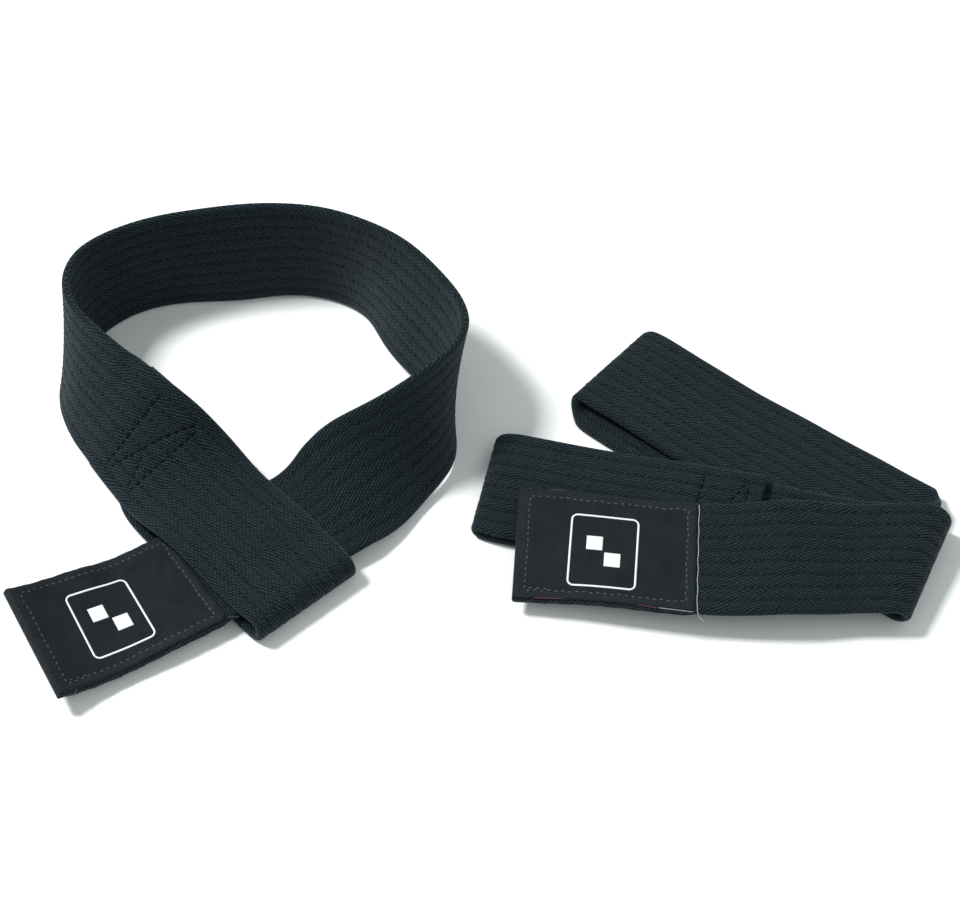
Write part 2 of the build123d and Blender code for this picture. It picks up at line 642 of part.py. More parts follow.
# ---- lock stitch ----
# Zigzag runs: (along, across) to (along, across), along measured from the stitch's datum
ZIGZAG = [
    (-20.0, -14.5, -19.2, 15.2),
    (-18.2, -14.5, -6.0, 15.0),
    (-5.8, -15.2, -4.6, 13.6),
    (-7.4, -14.6, -11.8, -4.0),
]
LOOPED_STITCH_DATUM = 412.6
LOCK_PROUD = 0.25


def stroke(at, s0, u0, s1, u1, v0, v1, steps=8, width=0.9):
    """Straight thread between two points (along, across) of a strap, from v0 to v1 through it."""
    points = []
    for i in range(steps + 1):
        share = i / steps
        a, b, normal = at(s0 + (s1 - s0) * share)
        points.append(((a + b) / 2 + unit(a - b) * (u0 + (u1 - u0) * share), normal))
    outline = box_outline(-width / 2, width / 2, v0, v1)
    wires = []
    for i, (p, normal) in enumerate(points):
        travel = unit(points[min(i + 1, steps)][0] - points[max(i - 1, 0)][0])
        wires.append(section(p, unit(np.cross(normal, travel)), normal, outline))
    return Solid.make_loft(wires, True)


def lock_stitch(at, datum, zigzag, v0, v1):
    return [stroke(at, datum + s0, u0, datum + s1, u1, v0, v1) for s0, u0, s1, u1 in zigzag]


# ---- the two straps ----
CUTS = (157.5, 224.5, 344.5)          # looped strap's bends: tail | right side | back | eye


def looped_strap():
    hinge = JOINT_GAP / 2
    lengths = list(np.linspace(0.0, LABEL_LENGTH, 7))
    lengths += list(np.linspace(LABEL_LENGTH, CUTS[0] - hinge, 11))[1:]
    tail = Run([looped_at(s) for s in lengths])
    strap_piece("looped_tail", tail.stations, tail.between(QUILT_START, tail.length))
    label("looped", tail)
    strap_piece("looped_side", looped_stations(CUTS[0] + hinge, CUTS[1] - hinge))
    strap_piece("looped_back", looped_stations(CUTS[1] + hinge, CUTS[2] - hinge))
    lengths = list(np.linspace(CUTS[2] + hinge, EYE_FOLD_START, 14))
    lengths += list(np.linspace(EYE_FOLD_START, EYE_FOLD_END, 6))[1:-1]
    lengths += list(np.linspace(EYE_FOLD_END, LOOPED_END, 11))
    strap_piece("looped_eye", [looped_at(s) for s in lengths])
    lock = HALF_THICK + LOCK_PROUD
    put("looped_eye_lock_stitch",
        lock_stitch(looped_at, LOOPED_STITCH_DATUM, ZIGZAG, -lock - EYE_LAYER_PITCH, lock))


def folded_base(lower, upper):
    fold = half_round(lower[-1], upper[0], LEFT_OUT)
    base = lower + fold[1:-1] + upper
    below_floor = Box(500, 500, 10).moved(Location((0, 0, -5)))
    put("folded_base_cover", (loft(base, cover_outline()) - below_floor).solid())
    put("folded_base_core", loft(base, core_outline()))
    put("folded_base_quilting", quilt_rows(lower, HALF_THICK - 0.1) + quilt_rows(upper))


def folded_front(lower):
    panel = front_panel()
    fold = half_round(panel[-1], lower[0], RIGHT_OUT, turn_to=PART_FOLD)
    front = Run(panel + fold[1:])
    strap_piece("folded_front", front.stations, front.between(QUILT_START, front.length))
    label("folded", front)
    # loose thread along the patch's inner edge
    s = LABEL_LENGTH + 0.5
    put("folded_label_edge_thread",
        stroke(front.at, s, -19.0, s, 19.0, LABEL_BASE, LABEL_FACE + 0.1, steps=6, width=0.5))


def folded_eye(upper):
    panel, back = middle_panel(), eye_return()
    fold = half_round(upper[-1], panel[0], RIGHT_OUT, side=-1, turn_from=1 - PART_FOLD)
    eye_fold = half_round(panel[-1], back[0], middle_travel(1.0))
    strap_piece("folded_eye", fold[:-1] + panel + eye_fold[1:-1] + back)
    run = Run(back)
    put("folded_eye_lock_stitch",
        lock_stitch(run.at, run.length, ZIGZAG[:3],
                    -HALF_THICK - LAYER_PITCH - 0.3, HALF_THICK + 0.08))


os.makedirs("parts", exist_ok=True)
looped_strap()
lower, upper = lower_layer(), upper_layer()
folded_base(lower, upper)
folded_front(lower)
folded_eye(upper)
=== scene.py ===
"""Two quilted cloth straps lying on a floor, each with a patch at one end and an eye at the other.

+X is right, +Y is away from the camera and +Z is up. The looped strap lies on the left: from its
patch end, near left, it runs right, round a loop and back, so that its tail passes through its
own eye. The folded strap lies on the right in stacked layers, the patch on top. An eye is the
strap's end folded back on itself and stitched down.

Shapes are worked out in millimetres and turned into metres when the meshes are made.
"""
import math

import bmesh
import bpy
import numpy as np
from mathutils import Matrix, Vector


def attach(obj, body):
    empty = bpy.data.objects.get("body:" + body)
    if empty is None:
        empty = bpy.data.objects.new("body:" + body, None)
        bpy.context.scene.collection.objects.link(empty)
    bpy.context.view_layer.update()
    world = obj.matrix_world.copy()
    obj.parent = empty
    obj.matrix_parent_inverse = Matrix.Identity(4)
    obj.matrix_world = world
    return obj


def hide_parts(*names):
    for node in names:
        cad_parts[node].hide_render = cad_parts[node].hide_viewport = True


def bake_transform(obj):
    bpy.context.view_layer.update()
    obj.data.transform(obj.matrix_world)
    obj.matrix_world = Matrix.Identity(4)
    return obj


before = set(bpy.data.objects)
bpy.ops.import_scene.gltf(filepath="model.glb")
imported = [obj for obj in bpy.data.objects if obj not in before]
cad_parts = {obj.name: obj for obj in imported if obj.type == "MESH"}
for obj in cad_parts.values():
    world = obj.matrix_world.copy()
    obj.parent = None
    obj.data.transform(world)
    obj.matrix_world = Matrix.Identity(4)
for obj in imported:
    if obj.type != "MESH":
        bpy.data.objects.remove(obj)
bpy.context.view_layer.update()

# ---------------------------------------------------------------------------
# Driving dimensions, millimetres
# ---------------------------------------------------------------------------
STRAP_WIDTH = 40.0
STRAP_THICK = 2.8
HALF_WIDTH = STRAP_WIDTH / 2
HALF_THICK = STRAP_THICK / 2
LAYER_PITCH = 3.0         # distance between layers lying on each other

PATCH_LENGTH = 56.0       # along the strap
PATCH_THICK = 0.5
PATCH_HALF = HALF_WIDTH - 0.35              # half the patch's width
PATCH_BASE = HALF_THICK + 0.03              # patch's inner face, from the strap's middle
PATCH_FACE = PATCH_BASE + PATCH_THICK - 0.12    # patch's outer face before its relief
SEAM_INSET = 3.0          # patch seam, in from the edge
SEAM_PLACE = HALF_WIDTH - SEAM_INSET

EYE_RETURN = 87.0         # how far the eye's end is folded back
EYE_LAYER_PITCH = 3.4     # main layer to folded-back layer at the lock stitch

QUILT_EDGE = 15.75        # outermost quilting rows, across
ROW_PITCH = 4.5           # between quilting rows
QUILT_ROWS = np.arange(-QUILT_EDGE, QUILT_EDGE + 0.05, ROW_PITCH)
STITCH_PITCH = 2.4        # along a row
ROW_STAGGER = 0.37        # shift from row to row, in stitches

SHIFT = np.array([-1.451, 14.107, 0])       # strap coordinates to the product's frame

rng = np.random.default_rng(11)


# ---------------------------------------------------------------------------
# Small mathematics
# ---------------------------------------------------------------------------
def unit(vector):
    vector = np.asarray(vector, float)
    return vector / np.linalg.norm(vector)


def smooth(start, end, x):
    """Soft step from 0 at start to 1 at end; start may be the larger."""
    part = np.clip((x - start) / (end - start), 0.0, 1.0)
    return part * part * (3 - 2 * part)


def window(x, rise_start, rise_end, fall_start, fall_end):
    """Soft step up to 1 and down again."""
    return smooth(rise_start, rise_end, x) * (1 - smooth(fall_start, fall_end, x))


def bell(x, width):
    return np.exp(-(x / width) ** 2)


def curve_at(points, fraction):
    """Catmull-Rom through evenly counted points, fraction from 0 to 1."""
    last = len(points) - 1
    x = np.clip(fraction, 0, 1) * last
    i = min(int(x), last - 1)
    part = x - i
    here, there = points[i], points[i + 1]
    before = points[i - 1] if i > 0 else 2 * here - there
    after = points[i + 2] if i + 2 <= last else 2 * there - here
    return 0.5 * (2 * here + (there - before) * part
                  + (2 * before - 5 * here + 4 * there - after) * part * part
                  + (3 * here - before - 3 * there + after) * part ** 3)


def heading(degrees):
    """Level direction, anticlockwise from +X."""
    angle = np.radians(degrees)
    return np.array([np.cos(angle), np.sin(angle), 0.0])


def clockwise(direction):
    """A level direction turned a quarter clockwise."""
    return np.array([direction[1], -direction[0], 0.0])


def at_height(point, z):
    return np.array([point[0], point[1], z])


# ---------------------------------------------------------------------------
# Looped strap: its run
# ---------------------------------------------------------------------------
LOOP_LENGTH = 475.41
# centre x, y, z and across direction x, y, z, from the patch end, at even steps
LOOP_TABLE = np.array([
    (-135.05, -85.54, 11.2, -0.4849, 0.8546, 0.1859),
    (-131.18, -82.94, 9.39, -0.4905, 0.8534, 0.1766),
    (-127.11, -80.33, 8.1, -0.4942, 0.8533, 0.1664),
    (-122.93, -77.74, 7.2, -0.4972, 0.854, 0.1529),
    (-118.69, -75.16, 6.59, -0.5001, 0.8554, 0.1345),
    (-114.42, -72.59, 6.12, -0.5036, 0.8569, 0.1103),
    (-110.14, -70.02, 5.7, -0.5088, 0.8571, 0.081),
    (-105.87, -67.43, 5.32, -0.5157, 0.8553, 0.0498),
    (-101.61, -64.83, 4.99, -0.5237, 0.8516, 0.0207),
    (-97.37, -62.19, 4.74, -0.5326, 0.8464, -0.003),
    (-93.15, -59.5, 4.57, -0.5425, 0.8399, -0.0177),
    (-88.97, -56.76, 4.49, -0.5521, 0.8335, -0.0216),
    (-84.81, -53.98, 4.5, -0.5604, 0.8281, -0.0174),
    (-80.68, -51.15, 4.56, -0.5674, 0.8234, -0.0089),
    (-76.57, -48.3, 4.68, -0.573, 0.8195, -0.0004),
    (-72.48, -45.42, 4.83, -0.5772, 0.8166, 0.0038),
    (-68.39, -42.53, 5.01, -0.578, 0.816, 0.0028),
    (-64.31, -39.65, 5.29, -0.5745, 0.8185, 0.0029),
    (-60.22, -36.81, 5.76, -0.5672, 0.8235, 0.0115),
    (-56.12, -34.04, 6.5, -0.5579, 0.8291, 0.037),
    (-52.02, -31.38, 7.59, -0.5518, 0.8289, 0.0912),
    (-47.95, -28.88, 9.07, -0.5603, 0.808, 0.1824),
    (-43.92, -26.48, 10.8, -0.5813, 0.7539, 0.3061),
    (-39.91, -24.14, 12.67, -0.5988, 0.6608, 0.4525),
    (-35.9, -21.79, 14.53, -0.5917, 0.5375, 0.6008),
    (-31.88, -19.37, 16.27, -0.5496, 0.4159, 0.7245),
    (-27.86, -16.81, 17.79, -0.4947, 0.3203, 0.8079),
    (-23.91, -14.02, 19.06, -0.4423, 0.2488, 0.8617),
    (-20.14, -10.89, 20.07, -0.3893, 0.1932, 0.9006),
    (-16.68, -7.34, 20.77, -0.3264, 0.1456, 0.934),
    (-13.72, -3.33, 21.14, -0.2412, 0.1058, 0.9647),
    (-11.38, 1.08, 21.2, -0.1379, 0.0741, 0.9877),
    (-9.69, 5.79, 21.06, -0.0289, 0.0522, 0.9982),
    (-8.7, 10.68, 20.81, 0.0756, 0.0437, 0.9962),
    (-8.5, 15.67, 20.56, 0.1664, 0.0491, 0.9848),
    (-9.2, 20.62, 20.43, 0.2372, 0.0667, 0.9692),
    (-10.87, 25.33, 20.49, 0.2852, 0.0993, 0.9533),
    (-13.23, 29.73, 20.69, 0.3142, 0.1375, 0.9394),
    (-16, 33.89, 20.96, 0.3304, 0.1702, 0.9284),
    (-18.96, 37.92, 21.24, 0.3366, 0.1911, 0.922),
    (-21.93, 41.94, 21.47, 0.3312, 0.1959, 0.923),
    (-24.81, 46.02, 21.61, 0.3058, 0.1898, 0.933),
    (-27.71, 50.1, 21.69, 0.2606, 0.1787, 0.9488),
    (-30.76, 54.07, 21.72, 0.2013, 0.1609, 0.9662),
    (-34.09, 57.8, 21.73, 0.1384, 0.1348, 0.9812),
    (-37.82, 61.13, 21.74, 0.0874, 0.1038, 0.9907),
    (-41.98, 63.91, 21.79, 0.0581, 0.0792, 0.9952),
    (-46.46, 66.14, 21.85, 0.0438, 0.0662, 0.9968),
    (-51.16, 67.83, 21.93, 0.0365, 0.0639, 0.9973),
    (-56.03, 68.99, 22.02, 0.031, 0.0699, 0.9971),
    (-60.99, 69.63, 22.11, 0.0239, 0.0815, 0.9964),
    (-65.99, 69.74, 22.19, 0.0145, 0.0967, 0.9952),
    (-70.98, 69.46, 22.27, 0.0041, 0.1127, 0.9936),
    (-75.95, 68.91, 22.33, -0.0056, 0.1264, 0.992),
    (-80.91, 68.24, 22.37, -0.0129, 0.1343, 0.9909),
    (-85.87, 67.58, 22.39, -0.0164, 0.1328, 0.991),
    (-90.85, 67.01, 22.37, -0.019, 0.1196, 0.9926),
    (-95.82, 66.44, 22.33, -0.0228, 0.0982, 0.9949),
    (-100.77, 65.74, 22.27, -0.0265, 0.0733, 0.997),
    (-105.68, 64.77, 22.19, -0.0289, 0.0499, 0.9983),
    (-110.5, 63.42, 22.1, -0.0304, 0.034, 0.999),
    (-115.15, 61.6, 22.01, -0.032, 0.0301, 0.999),
    (-119.59, 59.29, 21.94, -0.0348, 0.0359, 0.9988),
    (-123.71, 56.46, 21.91, -0.0391, 0.0465, 0.9982),
    (-127.39, 53.07, 21.93, -0.0427, 0.0565, 0.9975),
    (-130.48, 49.14, 22.04, -0.0393, 0.0623, 0.9973),
    (-132.82, 44.74, 22.23, -0.0244, 0.059, 0.998),
    (-134.41, 40, 22.47, 0.0046, 0.0481, 0.9988),
    (-135.22, 35.07, 22.69, 0.0499, 0.0363, 0.9981),
    (-135.27, 30.08, 22.85, 0.1114, 0.0305, 0.9933),
    (-134.49, 25.14, 22.9, 0.1868, 0.0389, 0.9816),
    (-132.91, 20.4, 22.77, 0.2668, 0.0682, 0.9613),
    (-130.66, 15.94, 22.47, 0.3389, 0.1126, 0.9341),
    (-127.92, 11.79, 21.98, 0.3996, 0.1611, 0.9024),
    (-124.85, 7.9, 21.31, 0.4515, 0.2064, 0.8681),
    (-121.55, 4.23, 20.44, 0.4994, 0.2448, 0.8311),
    (-118.12, 0.75, 19.36, 0.5409, 0.2833, 0.7919),
    (-114.61, -2.59, 18.14, 0.5741, 0.33, 0.7494),
    (-111.04, -5.85, 16.85, 0.6026, 0.386, 0.6985),
    (-107.44, -9.08, 15.55, 0.6297, 0.4509, 0.6326),
    (-103.85, -12.35, 14.33, 0.6578, 0.5212, 0.5437),
    (-100.29, -15.68, 13.23, 0.6848, 0.5889, 0.4292),
    (-96.75, -19.1, 12.28, 0.7042, 0.643, 0.3011),
    (-93.24, -22.57, 11.48, 0.7145, 0.6765, 0.1786),
    (-89.76, -26.11, 10.86, 0.7185, 0.6911, 0.0786),
    (-86.28, -29.68, 10.41, 0.7206, 0.6932, 0.0115),
    (-82.83, -33.29, 10.14, 0.7238, 0.6897, -0.02),
    (-79.39, -36.93, 9.99, 0.7277, 0.6854, -0.0258),
    (-75.97, -40.58, 9.89, 0.7314, 0.6817, -0.0165),
    (-72.57, -44.25, 9.78, 0.7346, 0.6785, -0.0012),
    (-69.18, -47.93, 9.58, 0.7374, 0.6754, 0.0111),
    (-65.82, -51.61, 9.23, 0.7397, 0.6728, 0.0134),
    (-62.47, -55.29, 8.67, 0.7412, 0.6712, 0.0076),
    (-59.16, -58.94, 7.82, 0.7415, 0.671, -0.0016),
    (-55.9, -62.55, 6.63, 0.7405, 0.6719, -0.0101),
    (-52.73, -66.07, 5.04, 0.7393, 0.6733, -0.0139),
])

TAIL_LEVEL = 5.15         # height of the tail's middle where it passes through the eye
EYE_TOP = 8.8             # height of the eye's upper layer at its fold
EYE_LOW = 1.5             # height of the eye's lower layer, lying flat
EYE_FOLD_START = 470.3    # along the strap
EYE_FOLD_RADIUS = (EYE_TOP - EYE_LOW) / 2
EYE_FOLD_LENGTH = np.pi * EYE_FOLD_RADIUS
EYE_FOLD_END = EYE_FOLD_START + EYE_FOLD_LENGTH
STATION_STEP = 0.75
TANGENT_REACH = 0.8       # distance either side used to find the direction of travel
HUMP_RISE = 0.9           # raise of the main layer just before the lock stitch
FAR_RUN_MOVE = 1.85       # shift of the far part of the loop
FAR_RUN_WAY = np.array([0, 0.839, -1.0])
RETURN_OFFSET = 1.0       # sideways shift of the folded-back layer at the lock stitch
# side of the strap, then where that edge starts and ends its drop to the floor
RETURN_DROPS = ((1, 400, 427), (-1, 402, 422))


def looped_table(along):
    """Centre and across direction from the table, levelled at the tail and the eye."""
    row = curve_at(LOOP_TABLE, along / LOOP_LENGTH)
    centre, across = row[:3], row[3:]
    for share, level in (
        (window(along, 22, 42, 91, 111), TAIL_LEVEL),
        (smooth(448, 462, along), EYE_TOP),
    ):
        centre[2] += share * (level - centre[2])
        across[2] *= 1 - share
    centre[2] += HUMP_RISE * window(along, 375, 385, 400, 412)
    centre += FAR_RUN_MOVE * window(along, 172, 262, 352, 400) * FAR_RUN_WAY
    return centre, across


def looped_main(along):
    """Main layer's centre, and its across direction squared to the travel."""
    centre, across = looped_table(along)
    ahead = looped_table(min(along + TANGENT_REACH, LOOP_LENGTH))[0]
    behind = looped_table(max(along - TANGENT_REACH, 0.0))[0]
    travel = unit(ahead - behind)
    return centre, unit(across - travel * (across @ travel))


def returned_edges(along):
    """Edges of the folded-back layer under the main layer's place: close below it at the lock
    stitch, then down to the floor to let the tail through."""
    centre, across = looped_main(along)
    behind = looped_main(along - TANGENT_REACH)
    ahead = looped_main(min(along + TANGENT_REACH, EYE_FOLD_START))
    edges = []
    for side, drop_start, drop_end in RETURN_DROPS:
        travel = unit((ahead[0] + side * ahead[1] * HALF_WIDTH)
                      - (behind[0] + side * behind[1] * HALF_WIDTH))
        normal = unit(np.cross(travel, across))
        edge = centre + side * across * HALF_WIDTH
        tight = edge - EYE_LAYER_PITCH * normal
        drop = smooth(drop_start, drop_end, along)
        edges.append(tight * (1 - drop) + at_height(edge, EYE_LOW) * drop)
    across = unit(edges[0] - edges[1])
    centre = (edges[0] + edges[1]) / 2
    centre = centre - RETURN_OFFSET * across * (1 - smooth(398, 432, along))
    return centre + across * HALF_WIDTH, centre - across * HALF_WIDTH


def looped_edges(along):
    """Both edge points at a length along the whole strap, eye fold and return included."""
    if along <= EYE_FOLD_START:
        centre, across = looped_main(along)
    elif along <= EYE_FOLD_END:
        start, across = looped_main(EYE_FOLD_START)
        across = unit(at_height(across, 0))
        turn = np.pi * (along - EYE_FOLD_START) / EYE_FOLD_LENGTH
        centre = at_height(start, EYE_LOW + EYE_FOLD_RADIUS * (1 + np.cos(turn)))
        centre = centre + clockwise(across) * EYE_FOLD_RADIUS * np.sin(turn)
    else:
        return returned_edges(EYE_FOLD_START - (along - EYE_FOLD_END))
    return centre + HALF_WIDTH * across, centre - HALF_WIDTH * across


# ---------------------------------------------------------------------------
# Folded strap: its panels and folds
# ---------------------------------------------------------------------------
# the two nested folds at the right
RIGHT_FOLD_AXIS = heading(68.5)
RIGHT_FOLD_OUT = clockwise(RIGHT_FOLD_AXIS)
RIGHT_FOLD_POINT = np.array([135.5, -48.3, 0.0])
LEFT_FOLD_AXIS = heading(49.0)

# heights of the layers' middles
LOWER_LEVEL = HALF_THICK - 0.03
UPPER_LEVEL = LOWER_LEVEL + LAYER_PITCH
MIDDLE_LEVEL = UPPER_LEVEL + LAYER_PITCH
FRONT_LEVEL = MIDDLE_LEVEL + LAYER_PITCH
FRONT_FOLD_LEVEL = FRONT_LEVEL + 2.2        # front layer at the right fold, a little air under it
UPPER_LEFT_LEVEL = 7.6                      # upper layer at the left fold
EYE_FOLD_LEVEL = LOWER_LEVEL + 0.12         # middle layer at the eye's fold

FRONT_START = np.array([11.9, -45.8, 0.0])
FRONT_TRAVEL = heading(-3.8)
FRONT_BOW = 4.2                             # sideways bow of the front panel towards -Y
LOWER_LENGTH = 117.0
UPPER_START = np.array([45.4, 30.4, 0.0])
UPPER_TRAVEL = heading(-37.0)
MIDDLE_LENGTH = 142.0                       # sets the count of the middle panel's stations
RETURN_PART = EYE_RETURN / 143.0            # share of the middle panel under the return
EYE_AIR = 3.0                               # opening of the eye at its fold, far edge
PANEL_STEP = 1.5
FOLD_STEPS = 20

# middle panel's far edge in plan (x, y), from the right fold to the eye's fold
MIDDLE_FAR_EDGE = np.array([
    (143.4, -28.3), (135.0, -28.6), (118.0, -27.2), (100.0, -23.5), (84.0, -19.0),
    (68.0, -14.6), (52.0, -10.2), (36.0, -6.0), (22.0, -2.4), (9.5, 0.8),
])


def slant(axis, travel, across):
    """How far a fold along the axis leans from square, as a tangent."""
    return (axis @ travel) / (axis @ across)


def fractions(length):
    count = int(round(length / PANEL_STEP))
    return [i / count for i in range(count + 1)]


def middle_slope(x):
    """Height of the middle panel's centre line and its cross slope, by place along x."""
    rise = MIDDLE_LEVEL - EYE_FOLD_LEVEL
    z = EYE_FOLD_LEVEL + rise * (0.4 * smooth(8, 60, x) + 0.6 * smooth(25, 98, x))
    return z, np.radians(5.0) * window(x, 30, 65, 90, 122)


def middle_far_edge(fraction):
    """Point and direction of travel on the middle panel's far edge."""
    point = curve_at(MIDDLE_FAR_EDGE, fraction)
    travel = unit(curve_at(MIDDLE_FAR_EDGE, min(fraction + 0.01, 1.0))
                  - curve_at(MIDDLE_FAR_EDGE, max(fraction - 0.01, 0.0)))
    return at_height(point, 0.0), at_height(travel, 0.0)


MIDDLE_TRAVEL = middle_far_edge(0.0)[1]
MIDDLE_SLANT = slant(RIGHT_FOLD_AXIS, MIDDLE_TRAVEL, clockwise(MIDDLE_TRAVEL))


def middle_plan(fraction):
    """Middle panel in plan: far point, near point, centre."""
    far, travel = middle_far_edge(fraction)
    lean = MIDDLE_SLANT * (1 - smooth(0.0, 0.28, fraction))
    near = far - STRAP_WIDTH * (clockwise(travel) + lean * travel)
    return far, near, (far + near) / 2


MIDDLE_CENTRES = np.array([middle_plan(part)[2] for part in np.linspace(0, 1, 61)])


def middle_height(x, y):
    """Height of the middle panel's surface at a plan point."""
    z, roll = middle_slope(x)
    centre_y = np.interp(x, MIDDLE_CENTRES[::-1, 0], MIDDLE_CENTRES[::-1, 1])
    return z + np.tan(roll) * (y - centre_y)


def edge_pair(centre, across, z, rise=0.0):
    """Two edge points about a plan centre, the first raised and the second lowered."""
    reach = HALF_WIDTH * across
    return at_height(centre + reach, z + rise), at_height(centre - reach, z - rise)


def run_to_right_fold(start, travel):
    return ((RIGHT_FOLD_POINT - start) @ RIGHT_FOLD_OUT) / (travel @ RIGHT_FOLD_OUT)


FRONT_LENGTH = run_to_right_fold(FRONT_START, FRONT_TRAVEL)


def front_panel():
    """Top layer with the patch, from the patch end to the right fold."""
    across = -clockwise(FRONT_TRAVEL)
    end_slant = slant(RIGHT_FOLD_AXIS, FRONT_TRAVEL, across)
    pairs = []
    for part in fractions(FRONT_LENGTH):
        along = FRONT_LENGTH * part
        bow = FRONT_BOW * window(along, 0, 62, 66, 126)
        centre = FRONT_START + FRONT_TRAVEL * along - across * bow
        lean = end_slant * smooth(FRONT_LENGTH - 48, FRONT_LENGTH - 2, along)
        x, y = centre[:2]
        # air over the middle panel: more at the patch end, and a step along x
        z = (middle_height(x, y) + LAYER_PITCH + 0.32 + 3.13 * (1 - smooth(92, 117, x))
             + 0.6 * (1 - smooth(66, 80, x)) + 1.3 * smooth(62, 96, x))
        at_fold = smooth(114, 130, x)
        z = z * (1 - at_fold) + FRONT_FOLD_LEVEL * at_fold
        roll = (middle_slope(x)[1] + np.radians(7.0) * (1 - smooth(15, 60, x))
                + np.radians(3.2) * smooth(98, 130, x) + np.radians(3.8) * smooth(62, 96, x))
        ruling = across + lean * FRONT_TRAVEL
        pairs.append(edge_pair(centre, ruling, z, HALF_WIDTH * np.sin(roll)))
    return pairs


def lower_panel():
    """Bottom layer, from the right fold to the left fold."""
    out_part = FRONT_TRAVEL @ RIGHT_FOLD_OUT
    travel = FRONT_TRAVEL - 2 * out_part * RIGHT_FOLD_OUT
    across = clockwise(travel)
    # going round the fold also carries the strap along the fold's axis
    fold_length = np.pi * (FRONT_LEVEL - LOWER_LEVEL) / 2
    advance = (FRONT_TRAVEL @ RIGHT_FOLD_AXIS) / out_part * fold_length
    start = FRONT_START + FRONT_TRAVEL * FRONT_LENGTH + RIGHT_FOLD_AXIS * advance
    right_slant = slant(RIGHT_FOLD_AXIS, travel, across)
    left_slant = slant(LEFT_FOLD_AXIS, travel, across)
    pairs = []
    for part in fractions(LOWER_LENGTH):
        along = LOWER_LENGTH * part
        lean = (right_slant * (1 - smooth(2, 48, along))
                + left_slant * smooth(LOWER_LENGTH - 30, LOWER_LENGTH - 2, along))
        pairs.append(edge_pair(start + travel * along, across + lean * travel, LOWER_LEVEL))
    return pairs


def upper_panel():
    """Second layer, from the left fold to the inner right fold."""
    across = -clockwise(UPPER_TRAVEL)
    length = run_to_right_fold(UPPER_START, UPPER_TRAVEL)
    left_slant = slant(LEFT_FOLD_AXIS, UPPER_TRAVEL, across)
    right_slant = slant(RIGHT_FOLD_AXIS, UPPER_TRAVEL, across)
    pairs = []
    for part in fractions(length):
        along = length * part
        lean = (left_slant * (1 - smooth(2, 30, along))
                + right_slant * smooth(length - 40, length - 2, along))
        z = UPPER_LEVEL + (UPPER_LEFT_LEVEL - UPPER_LEVEL) * (1 - smooth(0, 48, along))
        centre = UPPER_START + UPPER_TRAVEL * along
        pairs.append(edge_pair(centre, across + lean * UPPER_TRAVEL, z))
    return pairs


def middle_panel():
    """Third layer, from the inner right fold to the eye's fold."""
    pairs = []
    for part in fractions(MIDDLE_LENGTH):
        far, near, centre = middle_plan(part)
        z, roll = middle_slope(centre[0])
        at_fold = smooth(126, 134, centre[0])
        z = z * (1 - at_fold) + MIDDLE_LEVEL * at_fold
        rise = HALF_WIDTH * np.sin(roll)
        pairs.append((at_height(far, z + rise), at_height(near, z - rise)))
    return pairs


def eye_return():
    """Folded-back layer on the middle panel, from the eye's fold towards the right."""
    pairs = []
    for part in fractions(EYE_RETURN):
        far, near, centre = middle_plan(1.0 - RETURN_PART * part)
        z, roll = middle_slope(centre[0])
        z += LAYER_PITCH + 0.05
        rise = HALF_WIDTH * np.sin(roll)
        lift = EYE_AIR * (1 - smooth(14, 62, centre[0]))
        pairs.append((at_height(far, z + rise + lift), at_height(near, z - rise + 0.1 * lift)))
    return pairs


def half_round(start, end, outward):
    """Half-round fold between two edge pairs lying one above the other."""
    pairs = []
    for i in range(FOLD_STEPS + 1):
        part = i / FOLD_STEPS
        share = np.array([part, part, (1 - np.cos(np.pi * part)) / 2])
        pairs.append(tuple(
            first + (last - first) * share
            + outward * (abs(last[2] - first[2]) / 2) * np.sin(np.pi * part)
            for first, last in zip(start, end)))
    return pairs


def folded_parts():
    """Edge pairs of every panel and fold, in order from the patch end."""
    front, lower, upper = front_panel(), lower_panel(), upper_panel()
    middle, back = middle_panel(), eye_return()
    return {
        "front": front,
        "right_outer": half_round(front[-1], lower[0], RIGHT_FOLD_OUT),
        "lower": lower,
        "left": half_round(lower[-1], upper[0], -clockwise(LEFT_FOLD_AXIS)),
        "upper": upper,
        "right_inner": half_round(upper[-1], middle[0], RIGHT_FOLD_OUT),
        "middle": middle,
        "eye": half_round(middle[-1], back[0], middle_far_edge(1.0)[1]),
        "eye_back": back,
    }


# ---------------------------------------------------------------------------
# Strap coordinates: along the strap, across it, and out of its outer face
# ---------------------------------------------------------------------------
def soften(rows, passes):
    for _ in range(passes):
        rows[1:-1] = 0.25 * rows[:-2] + 0.5 * rows[1:-1] + 0.25 * rows[2:]


def columns_at(x, places, rows):
    return np.stack([np.interp(x, places, rows[:, k]) for k in range(3)], -1)


def lengths_along(points):
    return np.linalg.norm(np.diff(points, axis=0), axis=1)


